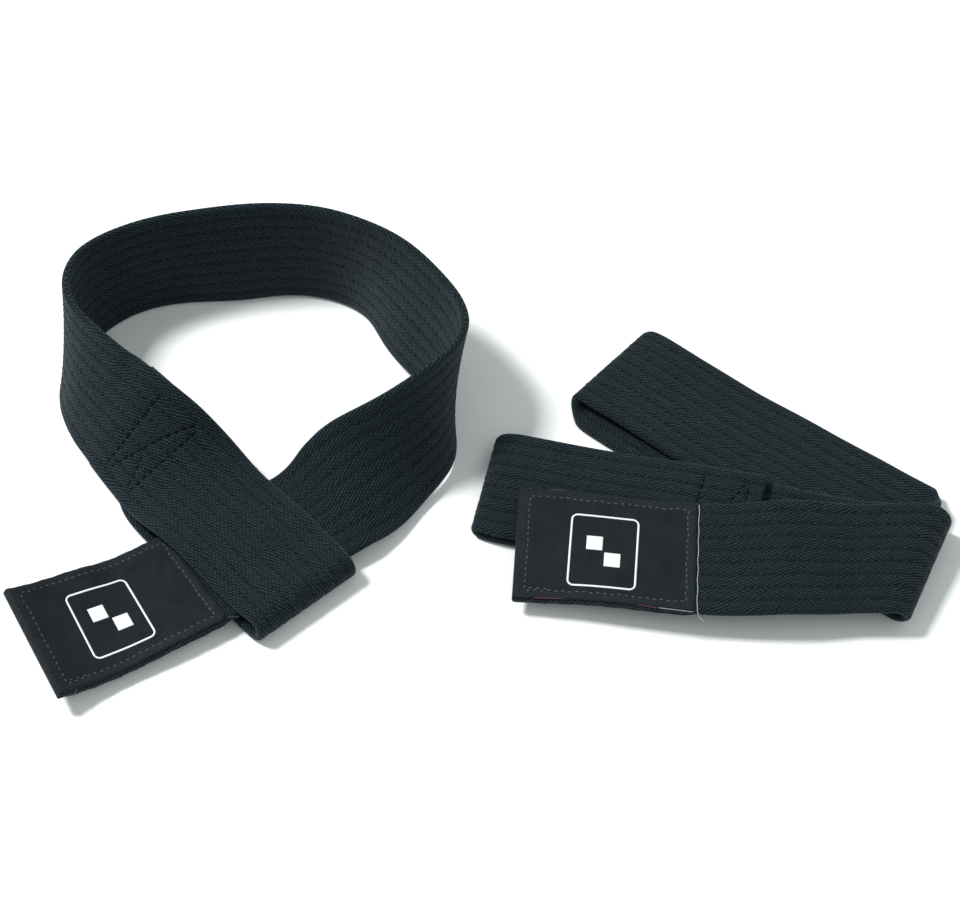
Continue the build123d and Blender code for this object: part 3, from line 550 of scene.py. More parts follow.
class Strap:
    """A strap's run as even stations, with the marks its cloth carries.

    strokes: lines of lock stitch (along, across, along, across)
    creases: (along, height, width, slope along per across)
    pinches: (along, half length, share of the width drawn in)
    """

    def __init__(self, edge_pairs):
        edges = [np.array([pair[k] for pair in edge_pairs]) for k in (0, 1)]
        steps = lengths_along((edges[0] + edges[1]) / 2)
        keep = np.concatenate([[True], steps > 0.02])
        edges = [edge[keep] for edge in edges]
        run = np.concatenate([[0], np.cumsum(lengths_along((edges[0] + edges[1]) / 2))])
        self.length = run[-1]
        self.grid = np.linspace(0, self.length, int(self.length / 0.5) + 1)
        edges = [columns_at(self.grid, run, edge) for edge in edges]
        for edge in edges:
            soften(edge, 3)
        self.middle = (edges[0] + edges[1]) / 2
        ruling = edges[0] - edges[1]
        normal = np.cross(np.gradient(self.middle, axis=0), ruling)
        normal /= np.linalg.norm(normal, axis=1)[:, None]
        soften(normal, 4)
        across = ruling / np.linalg.norm(ruling, axis=1)[:, None]
        normal -= across * np.sum(normal * across, 1)[:, None]
        normal /= np.linalg.norm(normal, axis=1)[:, None]
        self.ruling = ruling / STRAP_WIDTH
        self.normal = normal
        self.strokes, self.creases, self.pinches = (), (), ()

    def points(self, along, across, out):
        """Points in space; past either end the strap carries straight on."""
        middle, ruling, normal = (
            columns_at(along, self.grid, rows) for rows in (self.middle, self.ruling, self.normal))
        found = middle + ruling * across[..., None] + normal * out[..., None]
        over = (along - np.clip(along, 0, self.length))[..., None]
        first = (self.middle[1] - self.middle[0]) / (self.grid[1] - self.grid[0])
        last = (self.middle[-1] - self.middle[-2]) / (self.grid[-1] - self.grid[-2])
        return found + np.minimum(over, 0) * first + np.maximum(over, 0) * last


# ---------------------------------------------------------------------------
# Mesh helpers
# ---------------------------------------------------------------------------
def mesh_object(name, points, quads, uv, material, tris=()):
    """Object from millimetre points; uv holds one pair for each point."""
    points = (np.asarray(points, float) + SHIFT) / 1000.0
    quads = np.asarray(quads, np.int64).reshape(-1, 4)
    tris = np.asarray(tris, np.int64).reshape(-1, 3)
    corners = np.concatenate([quads.ravel(), tris.ravel()])
    starts = np.concatenate([np.arange(0, quads.size, 4), quads.size + np.arange(0, tris.size, 3)])
    totals = np.concatenate([np.full(len(quads), 4), np.full(len(tris), 3)])
    mesh = bpy.data.meshes.new(name)
    mesh.vertices.add(len(points))
    mesh.vertices.foreach_set("co", points.ravel())
    mesh.loops.add(len(corners))
    mesh.loops.foreach_set("vertex_index", corners.astype(np.int32))
    mesh.polygons.add(len(starts))
    mesh.polygons.foreach_set("loop_start", starts.astype(np.int32))
    mesh.polygons.foreach_set("loop_total", totals.astype(np.int32))
    mesh.polygons.foreach_set("use_smooth", np.ones(len(starts), bool))
    layer = mesh.uv_layers.new(name="strap")
    layer.data.foreach_set("uv", np.asarray(uv, np.float32)[corners].ravel())
    mesh.update(calc_edges=True)
    mesh.validate()
    mesh.materials.append(material)
    return link_object(name, mesh)


def link_object(name, data):
    made = bpy.data.objects.new(name, data)
    bpy.context.scene.collection.objects.link(made)
    return made


def tidy(made):
    """Turn all faces outwards."""
    faces = bmesh.new()
    faces.from_mesh(made.data)
    bmesh.ops.recalc_face_normals(faces, faces=faces.faces)
    faces.to_mesh(made.data)
    faces.free()
    return made


def grid_quads(rows, columns, wrap):
    row = np.arange(rows - 1)[:, None]
    column = np.arange(columns if wrap else columns - 1)[None, :]
    beside = (column + 1) % columns
    quads = np.stack([row * columns + column, row * columns + beside,
                      (row + 1) * columns + beside, (row + 1) * columns + column], -1)
    return quads.reshape(-1, 4)


def fit(made, move, replaced=()):
    """move: one body's name to attach the piece to, or (body, body, start, end), which is not
    used: the piece is then left where it stands.
    """
    if isinstance(move, str):
        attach(made, move)
    else:
        body, other, start, end = move
        start, end = (tuple((np.array(point) + SHIFT) / 1000) for point in (start, end))
        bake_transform(made)
    if replaced:
        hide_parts(*replaced)


# ---------------------------------------------------------------------------
# Quilted cover
# ---------------------------------------------------------------------------
FACE_COLUMNS = 76         # points across each face
EDGE_POINTS = 8           # points round each rolled edge


def wave(along, across, seed):
    """Soft irregular relief, about -1 to 1."""
    draw = np.random.default_rng(seed)
    total = np.zeros(np.broadcast(along, across).shape)
    for _ in range(9):
        rate_along, rate_across = draw.normal(0, 0.16), draw.normal(0, 0.2)
        total = total + np.sin(rate_along * along + rate_across * across + draw.uniform(0, 6.28))
    return total / 5.0


def stroke_distance(along, across, stroke):
    start_along, start_across, end_along, end_across = stroke
    run_along, run_across = end_along - start_along, end_across - start_across
    share = ((along - start_along) * run_along + (across - start_across) * run_across)
    share = np.clip(share / (run_along ** 2 + run_across ** 2), 0, 1)
    return np.hypot(along - start_along - share * run_along,
                    across - start_across - share * run_across)


def face_relief(along, across, seed, strokes, creases, quilted):
    """How far a face stands out from the plain thickness."""
    height = 0.035 * wave(along, across, seed)
    from_row = np.abs(across[..., None] - QUILT_ROWS).min(-1)
    row = np.round((across + QUILT_EDGE) / ROW_PITCH)
    phase = 2 * np.pi * (along / STITCH_PITCH + ROW_STAGGER * row)
    hole = (0.5 + 0.5 * np.cos(phase)) ** 4
    groove = 0.10 * bell(from_row, 0.75) + 0.25 * bell(from_row, 0.55) * hole
    height = height - groove * (np.abs(across) < 17.5) * quilted
    for stroke in strokes:
        height = height - 0.40 * bell(stroke_distance(along, across, stroke), 0.85)
    for place, rise, width, slope in creases:
        height = height + rise * bell(along - place - slope * across, width)
    return height


def strap_mesh(name, strap, start, end, material):
    """One length of a strap as a band with rolled edges and quilted faces.

    It is closed only at the strap's own ends, and plain where the patch covers it."""
    rows = max(2, int(round(end - start)) + 1)
    stations = np.linspace(start, end, rows)
    flat_half = HALF_WIDTH - HALF_THICK
    flat = np.linspace(-flat_half, flat_half, FACE_COLUMNS)
    turn = np.linspace(90, -90, EDGE_POINTS + 2)[1:-1]
    bulge = HALF_THICK * np.cos(np.radians(turn))
    level = HALF_THICK * np.sin(np.radians(turn))
    face = np.full(FACE_COLUMNS, HALF_THICK)
    section = np.concatenate([flat, flat_half + bulge, flat[::-1], -flat_half - bulge])
    section_out = np.concatenate([face, level, -face, -level])
    rolled = np.radians(90 - np.abs(turn)) * HALF_THICK     # measured round the edge
    section_uv = np.concatenate([flat, flat_half + rolled, flat[::-1], -flat_half - rolled])

    along, across = np.meshgrid(stations, section, indexing="ij")
    out = np.repeat(section_out[None], rows, 0)
    patched = start == 0
    quilted = 1 - smooth(PATCH_LENGTH + 1.5, PATCH_LENGTH + 0.5, along) if patched else 1
    fade = smooth(HALF_WIDTH - 0.6, HALF_WIDTH - 2.6, np.abs(across))
    outer = face_relief(along, across, 5, strap.strokes, strap.creases, quilted)
    inner = face_relief(along, across, 9, (), (), quilted)
    on_face = np.abs(out) > HALF_THICK * 0.98
    out = out + np.where(out > 0, outer, -inner) * fade * on_face
    # the edge wanders a little, and draws in where the strap is folded hard
    width = 1 + 0.004 * np.sin(along * 0.21 + 1.3) + 0.003 * np.sin(along * 0.083)
    for place, half_length, share in strap.pinches:
        width = width * (1 - share * bell(along - place, half_length))
    points = strap.points(along, across * width, out).reshape(-1, 3)
    uv = np.stack([along.ravel(), np.tile(section_uv, rows)], 1)

    ring = len(section)
    quads = grid_quads(rows, ring, True)
    tris = ()
    if patched or end == strap.length:
        row = 0 if patched else rows - 1
        centre, base, i = len(points), row * ring, np.arange(ring)
        points = np.vstack([points, points[base:base + ring].mean(0)])
        uv = np.vstack([uv, [stations[row], 0]])
        tris = np.stack([np.full(ring, centre), base + i, base + (i + 1) % ring], 1)
        tris = tris if patched else tris[:, ::-1]
    return mesh_object(name, points, quads[:, ::-1], uv, material, tris)


# ---------------------------------------------------------------------------
# Threads
# ---------------------------------------------------------------------------
# one stitch's sections: place along it, thickness share, depth share
STITCH_SECTIONS = np.array([
    (-1.0, 0.12, -0.9), (-0.82, 0.62, -0.45), (-0.4, 0.96, -0.05), (0.0, 1.0, 0.0),
    (0.4, 0.96, -0.05), (0.82, 0.62, -0.45), (1.0, 0.12, -0.9),
])
STITCH_RING = 7


def ring_angles(count):
    return np.arange(count) * 2 * np.pi / count


def stitches(name, strap, items, material, width, height):
    """Little rounded lengths of thread lying on the cloth.

    items: (along, across, out, direction along, direction across, length)"""
    items = np.array(items, float)
    place, thickness, sink = STITCH_SECTIONS.T
    angles = ring_angles(STITCH_RING)
    count = len(items)
    way = items[:, 3:5] + rng.normal(0, 0.05, (count, 2))
    way /= np.linalg.norm(way, axis=1)[:, None]
    way_along, way_across = way[:, 0, None, None], way[:, 1, None, None]
    reach = place[None, :, None] * (items[:, 5] / 2)[:, None, None]
    girth = np.cos(angles)[None, None] * thickness[None, :, None] * width / 2
    along = items[:, 0, None, None] + way_along * reach - way_across * girth
    across = items[:, 1, None, None] + way_across * reach + way_along * girth
    proud = (sink[None, :, None] * height * 0.8
             + np.sin(angles)[None, None] * thickness[None, :, None] * height / 2)
    out = items[:, 2, None, None] + np.sign(items[:, 2])[:, None, None] * proud
    points = strap.points(along.ravel(), across.ravel(), out.ravel())
    one = grid_quads(len(place), STITCH_RING, True)
    first_points = np.arange(count) * STITCH_RING * len(place)
    quads = (one[None] + first_points[:, None, None]).reshape(-1, 4)
    uv = np.stack([np.tile(np.repeat(place, STITCH_RING), count),
                   np.tile(angles, count * len(place))], 1)
    return tidy(mesh_object(name, points, quads, uv, material))


def quilting_items(start, end):
    items = []
    for k, across in enumerate(QUILT_ROWS):
        stagger = ROW_STAGGER * k
        along = (math.ceil(start / STITCH_PITCH + stagger) - stagger + 0.5) * STITCH_PITCH
        while along < end - 0.6:
            wander = rng.normal(0, 0.05)
            for side in (1, -1):
                items.append((along, across + wander, side * (HALF_THICK - 0.05), 1, 0, 1.5))
            along += STITCH_PITCH
    return items


def stitch_run(stroke, out, length, gap, wander):
    """A row of stitches along a straight line of the cloth."""
    start_along, start_across, end_along, end_across = stroke
    total = math.hypot(end_along - start_along, end_across - start_across)
    count = max(1, int(total / (length + gap)))
    way_along = (end_along - start_along) / total
    way_across = (end_across - start_across) / total
    items = []
    for i in range(count):
        run = (i + 0.5) * total / count
        aside = rng.normal(0, wander)
        items.append((
            start_along + way_along * run - way_across * aside,
            start_across + way_across * run + way_along * aside,
            out,
            way_along + rng.normal(0, 0.05),
            way_across + rng.normal(0, 0.05),
            (total / count - gap) * rng.uniform(0.85, 1.08),
        ))
    return items


def thread_tube(name, strap, path, radius, material, ring):
    """A thread along a path of (along, across, out) points, thinned at its ends."""
    middle = strap.points(path[:, 0], path[:, 1], path[:, 2])
    travel = np.gradient(middle, axis=0)
    travel /= np.linalg.norm(travel, axis=1)[:, None]
    side = np.cross(travel, np.array([0.12, 0.2, 0.97]))
    side /= np.linalg.norm(side, axis=1)[:, None]
    other = np.cross(travel, side)
    angles = ring_angles(ring)
    radii = np.full(len(middle), radius)
    radii[0] = radii[-1] = radius * 0.4
    circle = (np.cos(angles)[None, :, None] * side[:, None]
              + np.sin(angles)[None, :, None] * other[:, None])
    points = middle[:, None] + radii[:, None, None] * circle
    uv = np.stack([np.repeat(np.arange(len(middle)) * 0.4, ring), np.tile(angles, len(middle))], 1)
    quads = grid_quads(len(middle), ring, True)
    return tidy(mesh_object(name, points.reshape(-1, 3), quads, uv, material))


# ---------------------------------------------------------------------------
# Patch and its printed mark
# ---------------------------------------------------------------------------
PATCH_COLUMNS = 79
PATCH_ROWS = 74           # on each face
BACK_UV_OFFSET = 100      # added to the patch's along coordinate on its back face


def patch_relief(along, across, seed, ripples):
    """Height of the patch cloth: hemmed border, sunk seam, soft wrinkles.

    ripples: (along, across, angle, height, width, length)"""
    inset = SEAM_INSET
    edge = np.minimum.reduce([along, PATCH_LENGTH - along, PATCH_HALF - np.abs(across)])
    seam = np.minimum.reduce([np.abs(along - inset), np.abs(PATCH_LENGTH - inset - along),
                              np.abs(SEAM_PLACE - np.abs(across))])
    height = 0.10 * smooth(0, 1.3, edge) * smooth(inset + 0.6, inset - 0.9, edge)
    height = height - 0.13 * bell(seam, 0.65) * smooth(0.4, 1.5, edge)
    height = height + 0.04 * wave(along * 1.6, across * 1.6, seed) * (edge > inset - 0.8)
    within = smooth(inset - 0.5, inset + 2.5, edge)
    for place, aside, angle, rise, width, length in ripples:
        x = (along - place) * math.cos(angle) + (across - aside) * math.sin(angle)
        y = -(along - place) * math.sin(angle) + (across - aside) * math.cos(angle)
        height = height + rise * bell(y, width) * bell(x, length) * within
    # the stitches pucker the cloth between the seam and its edge
    pucker = np.sin(2 * np.pi * (along + across) / 2.6)
    return height + 0.035 * pucker * bell(edge - inset * 0.55, 1.0)


def patch_mesh(name, strap, material, seed, ripples):
    """One cloth folded round the strap's raw end: back face, wrap, outer face, with thickness."""
    face = np.linspace(0.2, PATCH_LENGTH, PATCH_ROWS)
    turn = np.radians(np.linspace(8, 172, 13))
    path = np.concatenate([face[::-1], -0.1 - 0.75 * np.sin(turn), face])
    facing = np.concatenate([np.full(PATCH_ROWS, -1.0), -np.cos(turn), np.full(PATCH_ROWS, 1.0)])
    along, across = np.meshgrid(
        path, np.linspace(-PATCH_HALF, PATCH_HALF, PATCH_COLUMNS), indexing="ij")
    facing = np.repeat(facing[:, None], PATCH_COLUMNS, 1)
    on_face = np.abs(facing) > 0.98

    # corners a touch rounded, cut edge a touch uneven
    from_side = np.abs(across)
    corner = (smooth(2.2, 0.0, PATCH_LENGTH - along)
              * smooth(HALF_WIDTH - 2.6, PATCH_HALF, from_side))
    rim = 0.12 * np.sin(along * 0.9 + seed) + 0.06 * np.sin(along * 2.3)
    cut_across = (across * (1 - 0.012 * corner)
                  + np.sign(across) * rim * smooth(HALF_WIDTH - 2.0, PATCH_HALF, from_side) * 0.6)
    cut_along = (along - 0.7 * corner * (along > PATCH_LENGTH - 3)
                 + 0.10 * np.sin(across * 0.7 + seed)
                 * smooth(PATCH_LENGTH - 2.5, PATCH_LENGTH, along))

    height = patch_relief(np.clip(along, 0, PATCH_LENGTH), across, seed, ripples)
    droop = (0.28 * smooth(0.5, 0.0, PATCH_LENGTH - along)
             + 0.25 * smooth(HALF_WIDTH - 0.9, PATCH_HALF, from_side))
    outer = facing * (PATCH_FACE + np.where(on_face, height - droop, -0.1))
    inner = facing * PATCH_BASE * np.where(on_face, 1.0, 0.96)
    inner_along = np.where(along < 0, along * 0.25, cut_along)
    points = np.concatenate([
        strap.points(cut_along, cut_across, outer).reshape(-1, 3),
        strap.points(inner_along, cut_across, inner).reshape(-1, 3)])

    rows, columns = len(path), PATCH_COLUMNS
    layer = rows * columns
    sheet = grid_quads(rows, columns, False)
    quads = [sheet, sheet[:, ::-1] + layer]
    side_start = np.arange(rows - 1) * columns
    end_start = np.arange(columns - 1)
    for first, step, flip in (
        (side_start, columns, False),
        (side_start + columns - 1, columns, True),
        (end_start, 1, True),
        (end_start + (rows - 1) * columns, 1, False),
    ):
        wall = np.stack([first, first + step, first + step + layer, first + layer], 1)
        quads.append(wall[:, ::-1] if flip else wall)
    uv = np.stack([(along + BACK_UV_OFFSET * (facing < 0)).ravel(), across.ravel()], 1)
    uv = np.concatenate([uv, uv])
    return tidy(mesh_object(name, points, np.concatenate(quads), uv, material))


FRAME_LINE = 0.62         # width of the printed frame's line
FRAME_RADII = (1.5, 2.3)  # its inner and outer corners
CORNER_POINTS = 14
SIDE_POINTS = 26
SQUARE_CELLS = 12
# printed squares, meeting near the middle: along from, to, across from, to
MARK_SQUARES = ((-5.4, -0.35, 0.35, 5.4), (0.35, 5.4, -5.4, -0.35))


def rounded_outline(half_length, half_width, radius):
    corners = ((1, 1), (-1, 1), (-1, -1), (1, -1))

    def corner_point(k, degrees):
        x, y = corners[k % 4]
        angle = math.radians(degrees)
        return (x * (half_length - radius) + radius * math.cos(angle),
                y * (half_width - radius) + radius * math.sin(angle))

    outline = []
    for k in range(4):
        turned = 90 * (k + 1)
        outline += [corner_point(k, degrees)
                    for degrees in np.linspace(turned - 90, turned, CORNER_POINTS)]
        start, end = outline[-1], corner_point(k + 1, turned)
        outline += [(start[0] + (end[0] - start[0]) * i / SIDE_POINTS,
                     start[1] + (end[1] - start[1]) * i / SIDE_POINTS)
                    for i in range(1, SIDE_POINTS)]
    return outline


def mark_layout(length, width):
    """Flat points and quads of a rounded frame round a chequer of two squares."""
    inner = rounded_outline(length / 2 - FRAME_LINE, width / 2 - FRAME_LINE, FRAME_RADII[0])
    points = inner + rounded_outline(length / 2, width / 2, FRAME_RADII[1])
    ring = len(inner)
    quads = [(i, (i + 1) % ring, ring + (i + 1) % ring, ring + i) for i in range(ring)]
    cells = SQUARE_CELLS
    for x_start, x_end, y_start, y_end in MARK_SQUARES:
        base = len(points)
        for i in range(cells + 1):
            for j in range(cells + 1):
                points.append((x_start + (x_end - x_start) * i / cells,
                               y_start + (y_end - y_start) * j / cells))
        for i in range(cells):
            for j in range(cells):
                corner = base + i * (cells + 1) + j
                quads.append((corner, corner + cells + 1, corner + cells + 2, corner + 1))
    return np.array(points, float), np.array(quads)


def print_mesh(name, strap, material, mark, seed, ripples):
    """Printed mark as a thin solid lying on the patch."""
    flat, quads = mark_layout(mark["length"], mark["width"])
    skew = mark["skew"]
    along = mark["along"] + flat[:, 0] + skew[0] * flat[:, 1]
    across = mark["across"] + flat[:, 1] + skew[1] * flat[:, 0]
    out = PATCH_FACE + patch_relief(along, across, seed, ripples) + 0.035
    top = strap.points(along, across, out)
    bottom = strap.points(along, across, out - 0.12)
    count = len(flat)
    edges = [(quad[i], quad[(i + 1) % 4]) for quad in quads for i in range(4)]
    known = set(edges)
    walls = np.array([(start, end, end + count, start + count)
                      for start, end in edges if (end, start) not in known])
    faces = np.concatenate([quads, (quads + count)[:, ::-1], walls[:, ::-1]])
    # wind the faces to look outwards
    corner, second, third = top[quads[0][:3]]
    outward = columns_at(mark["along"], strap.grid, strap.normal)
    if np.cross(second - corner, third - corner) @ outward < 0:
        faces = faces[:, ::-1]
    uv = np.stack([along, across], 1)
    return tidy(mesh_object(name, np.concatenate([top, bottom]), faces,
                            np.concatenate([uv, uv]), material))


# ---------------------------------------------------------------------------
# Materials, driven by the strap coordinates in the UV map (millimetres)
# ---------------------------------------------------------------------------
class Shader:
    """A material with one Principled surface, and short forms for its nodes."""

    def __init__(self, name):
        self.material = bpy.data.materials.new(name)
        self.material.use_nodes = True
        self.tree = self.material.node_tree
        self.tree.nodes.clear()
        output = self.node("ShaderNodeOutputMaterial")
        self.principled = self.node("ShaderNodeBsdfPrincipled")
        self.tree.links.new(self.principled.outputs[0], output.inputs[0])

    def node(self, kind, **settings):
        node = self.tree.nodes.new(kind)
        for key, value in settings.items():
            setattr(node, key, value)
        return node

    def put(self, socket, value):
        if isinstance(value, bpy.types.NodeSocket):
            self.tree.links.new(value, socket)
        else:
            socket.default_value = value

    def math(self, operation, first, second=0.0, clamp=False):
        node = self.node("ShaderNodeMath", operation=operation, use_clamp=clamp)
        for socket, value in zip(node.inputs, (first, second, 0.0)):
            self.put(socket, value)
        return node.outputs[0]

    def plus(self, first, second, clamp=False):
        return self.math("ADD", first, second, clamp)

    def minus(self, first, second):
        return self.math("SUBTRACT", first, second)

    def times(self, first, second, clamp=False):
        return self.math("MULTIPLY", first, second, clamp)

    def swing(self, angle, kind="SINE"):
        """Sine or cosine brought to 0..1."""
        return self.plus(self.times(self.math(kind, angle), 0.5), 0.5)

    def ramp(self, x, start, end):
        return self.times(self.minus(x, start), 1.0 / (end - start), clamp=True)

    def strap_coordinates(self):
        """The coordinates as a vector, then along and across."""
        source = self.node("ShaderNodeUVMap", uv_map="strap").outputs[0]
        parts = self.node("ShaderNodeSeparateXYZ")
        self.put(parts.inputs[0], source)
        return source, parts.outputs[0], parts.outputs[1]

    def position(self):
        return self.node("ShaderNodeNewGeometry").outputs["Position"]

    def noise(self, where, scale, detail=3.0, rough=0.55):
        node = self.node("ShaderNodeTexNoise")
        for key, value in (("Vector", where), ("Scale", scale), ("Detail", detail),
                           ("Roughness", rough)):
            self.put(node.inputs[key], value)
        return node.outputs[0]

    def weave(self, along, across, pitch=0.42):
        """Crossed threads, -1 to 1."""
        waves = [self.math("SINE", self.times(way, 2 * math.pi / pitch))
                 for way in (along, across)]
        return self.times(*waves)

    def mix(self, share, first, second):
        node = self.node("ShaderNodeMix", data_type="RGBA")
        self.put(node.inputs[0], share)
        self.put(node.inputs[6], first)
        self.put(node.inputs[7], second)
        return node.outputs[2]

    def bump(self, height, distance, strength, under=None):
        """Bump of a distance in metres, over another normal if one is given."""
        node = self.node("ShaderNodeBump")
        self.put(node.inputs["Strength"], strength)
        self.put(node.inputs["Distance"], distance)
        self.put(node.inputs["Height"], height)
        if under is not None:
            self.put(node.inputs["Normal"], under)
        return node.outputs[0]

    def surface(self, values):
        for key, value in values.items():
            self.put(self.principled.inputs[key], value)
        return self.material


def cover_material():
    """Quilted cotton: slanting ribs of short yarns, with needle holes along the rows."""
    cloth = Shader("cover_cotton")
    where, along, across = cloth.strap_coordinates()
    lean = math.radians(27)
    rib_pitch, yarn_pitch = 0.92, 1.25

    # ribs, wandering finely and broadly
    fine = cloth.times(cloth.minus(cloth.noise(where, scale=0.9, detail=2.0), 0.5), 0.9)
    broad = cloth.times(cloth.minus(cloth.noise(where, scale=0.12, detail=2.0), 0.5), 2.6)
    rib_place = cloth.minus(cloth.times(across, math.cos(lean) / rib_pitch),
                            cloth.times(along, math.sin(lean) / rib_pitch))
    rib_place = cloth.plus(cloth.plus(rib_place, fine), broad)
    rib = cloth.swing(cloth.times(rib_place, 2 * math.pi))
    rib_number = cloth.math("FLOOR", cloth.plus(rib_place, 0.25))

    # yarns along each rib, staggered from rib to rib
    yarn_place = cloth.plus(cloth.times(across, math.sin(lean) / yarn_pitch),
                            cloth.times(along, math.cos(lean) / yarn_pitch))
    yarn_place = cloth.plus(yarn_place, cloth.times(rib_number, 0.37))
    yarn = cloth.math("ABSOLUTE", cloth.math("SINE", cloth.times(yarn_place, math.pi)))
    yarn = cloth.math("POWER", yarn, 0.5)
    height = cloth.times(rib, cloth.plus(cloth.times(yarn, 0.72), 0.28))
    fuzz = cloth.noise(where, scale=3.2, rough=0.7)
    height = cloth.plus(height, cloth.times(cloth.minus(fuzz, 0.5), 0.75))

    # needle holes along the quilting rows, for relief and painted shade
    row = cloth.math("ROUND", cloth.times(cloth.plus(across, QUILT_EDGE), 1 / ROW_PITCH))
    from_row = cloth.minus(cloth.plus(across, QUILT_EDGE), cloth.times(row, ROW_PITCH))
    phase = cloth.plus(cloth.times(along, 1 / STITCH_PITCH), cloth.times(row, ROW_STAGGER))
    pulse = cloth.swing(cloth.times(phase, 2 * math.pi), "COSINE")
    pulse = cloth.math("POWER", pulse, 3.0)
    near = cloth.math("EXPONENT", cloth.times(cloth.times(from_row, from_row), -1 / 0.38))
    band = cloth.math("LESS_THAN", cloth.math("ABSOLUTE", across), 17.6)
    hole = cloth.times(cloth.times(pulse, near), band)
    patchy = cloth.ramp(cloth.noise(where, scale=0.11), 0.36, 0.66)
    hole = cloth.times(hole, cloth.plus(cloth.times(patchy, 0.5), 0.5))

    # colour: painted shade in the troughs between the ribs with the raised yarns lighter, a trace
    # of lint, painted shade in the needle holes and sunk rows, then a broad change of tone
    trough_shade, raised = (0.0016, 0.0032, 0.0040, 1), (0.0210, 0.0400, 0.0495, 1)
    lint_colour, row_shade_colour = (0.12, 0.14, 0.15, 1), (0.0016, 0.0024, 0.003, 1)
    tone = cloth.plus(cloth.times(cloth.noise(where, scale=0.045), 0.5), 0.75)
    # painted shade and light: the colour follows the rib height, near black in the troughs between
    # ribs
    lit = cloth.math("POWER", cloth.math("MAXIMUM", height, 0.0), 1.5)
    colour = cloth.mix(lit, trough_shade, raised)
    lint = cloth.ramp(cloth.noise(where, scale=1.7, detail=4.0, rough=0.75), 0.58, 0.8)
    lint = cloth.math("POWER", lint, 2.0)
    colour = cloth.mix(cloth.times(lint, 0.12), colour, lint_colour)
    # painted shade: the needle holes and the sunk quilting rows are darkened towards near black
    sunk = cloth.times(cloth.times(near, band), cloth.times(patchy, 0.34))
    dark = cloth.math("MAXIMUM", cloth.times(hole, 0.95), sunk)
    colour = cloth.mix(dark, colour, row_shade_colour)
    toned = cloth.node("ShaderNodeVectorMath", operation="SCALE")
    cloth.put(toned.inputs[0], colour)
    cloth.put(toned.inputs[3], tone)

    soft = cloth.bump(cloth.noise(where, scale=0.35, detail=2.0), distance=0.00035, strength=0.7)
    return cloth.surface({
        "Base Color": toned.outputs[0],
        "Roughness": cloth.plus(cloth.times(rib, -0.1), 0.92),
        "Specular IOR Level": 0.12,
        "Sheen Weight": 0.11,
        "Sheen Roughness": 0.45,
        "Sheen Tint": (0.70, 0.82, 0.90, 1),
        "Normal": cloth.bump(cloth.minus(height, cloth.times(hole, 1.15)),
                             distance=0.00021, strength=0.95, under=soft),
    })


def thread_material(name, dark, light, sheen, shine=0.3):
    """Twisted thread: painted shade in the grooves of its twist, and its tone changing from stitch
    to stitch.
    """
    thread = Shader(name)
    _, along, around = thread.strap_coordinates()
    twist = thread.swing(thread.plus(thread.times(along, 9.0), thread.times(around, 1.0)))
    shade = thread.noise(thread.position(), scale=900.0, detail=2.0)
    # painted shade: darker in the grooves of the twist, lighter on the plies; the noise is the
    # stitch's own tone
    light_share = thread.times(thread.plus(thread.times(twist, 0.6), 0.4),
                               thread.plus(shade, 0.45), clamp=True)
    return thread.surface({
        "Base Color": thread.mix(light_share, (*dark, 1), (*light, 1)),
        "Roughness": 0.62,
        "Specular IOR Level": shine,
        "Sheen Weight": sheen,
        "Normal": thread.bump(twist, distance=0.00006, strength=0.8),
    })


def patch_material():
    """Dark woven cloth with a rubbed, speckled hem."""
    cloth = Shader("patch_cloth")
    where, along, across = cloth.strap_coordinates()
    dark, light = (0.0014, 0.0021, 0.0029, 1), (0.0112, 0.0198, 0.0268, 1)
    hem_grit, face_grit = (0.115, 0.118, 0.135, 1), (0.10, 0.10, 0.12, 1)
    hem_width = 3.4
    weave = cloth.weave(along, across)
    speck = cloth.noise(where, scale=2.4, rough=0.7)
    soft = cloth.noise(where, scale=0.10)
    share = cloth.plus(cloth.times(cloth.minus(speck, 0.5), 1.3), cloth.times(soft, 0.9),
                       clamp=True)
    share = cloth.plus(share, cloth.times(weave, 0.10), clamp=True)
    colour = cloth.mix(share, dark, light)

    half_length = PATCH_LENGTH / 2
    from_middle = cloth.minus(cloth.math("MODULO", along, float(BACK_UV_OFFSET)), half_length)
    from_end = cloth.minus(half_length - hem_width, cloth.math("ABSOLUTE", from_middle))
    from_side = cloth.minus(HALF_WIDTH - hem_width, cloth.math("ABSOLUTE", across))
    hem = cloth.ramp(cloth.math("MINIMUM", from_end, from_side), 0.3, -0.5)
    grit = cloth.ramp(cloth.noise(where, scale=2.9, rough=0.8), 0.5, 0.74)
    grit = cloth.math("POWER", grit, 1.6)
    colour = cloth.mix(cloth.times(cloth.times(grit, hem), 0.62), colour, hem_grit)
    colour = cloth.mix(cloth.times(grit, 0.10), colour, face_grit)

    rumple = cloth.bump(cloth.noise(where, scale=0.22, rough=0.6), distance=0.0006, strength=0.6)
    return cloth.surface({
        "Base Color": colour,
        "Roughness": 0.66,
        "Specular IOR Level": 0.14,
        "Sheen Weight": 0.04,
        "Sheen Roughness": 0.4,
        "Sheen Tint": (0.85, 0.85, 0.95, 1),
        "Normal": cloth.bump(cloth.plus(cloth.times(weave, 0.3), speck),
                             distance=0.00012, strength=0.8, under=rumple),
    })


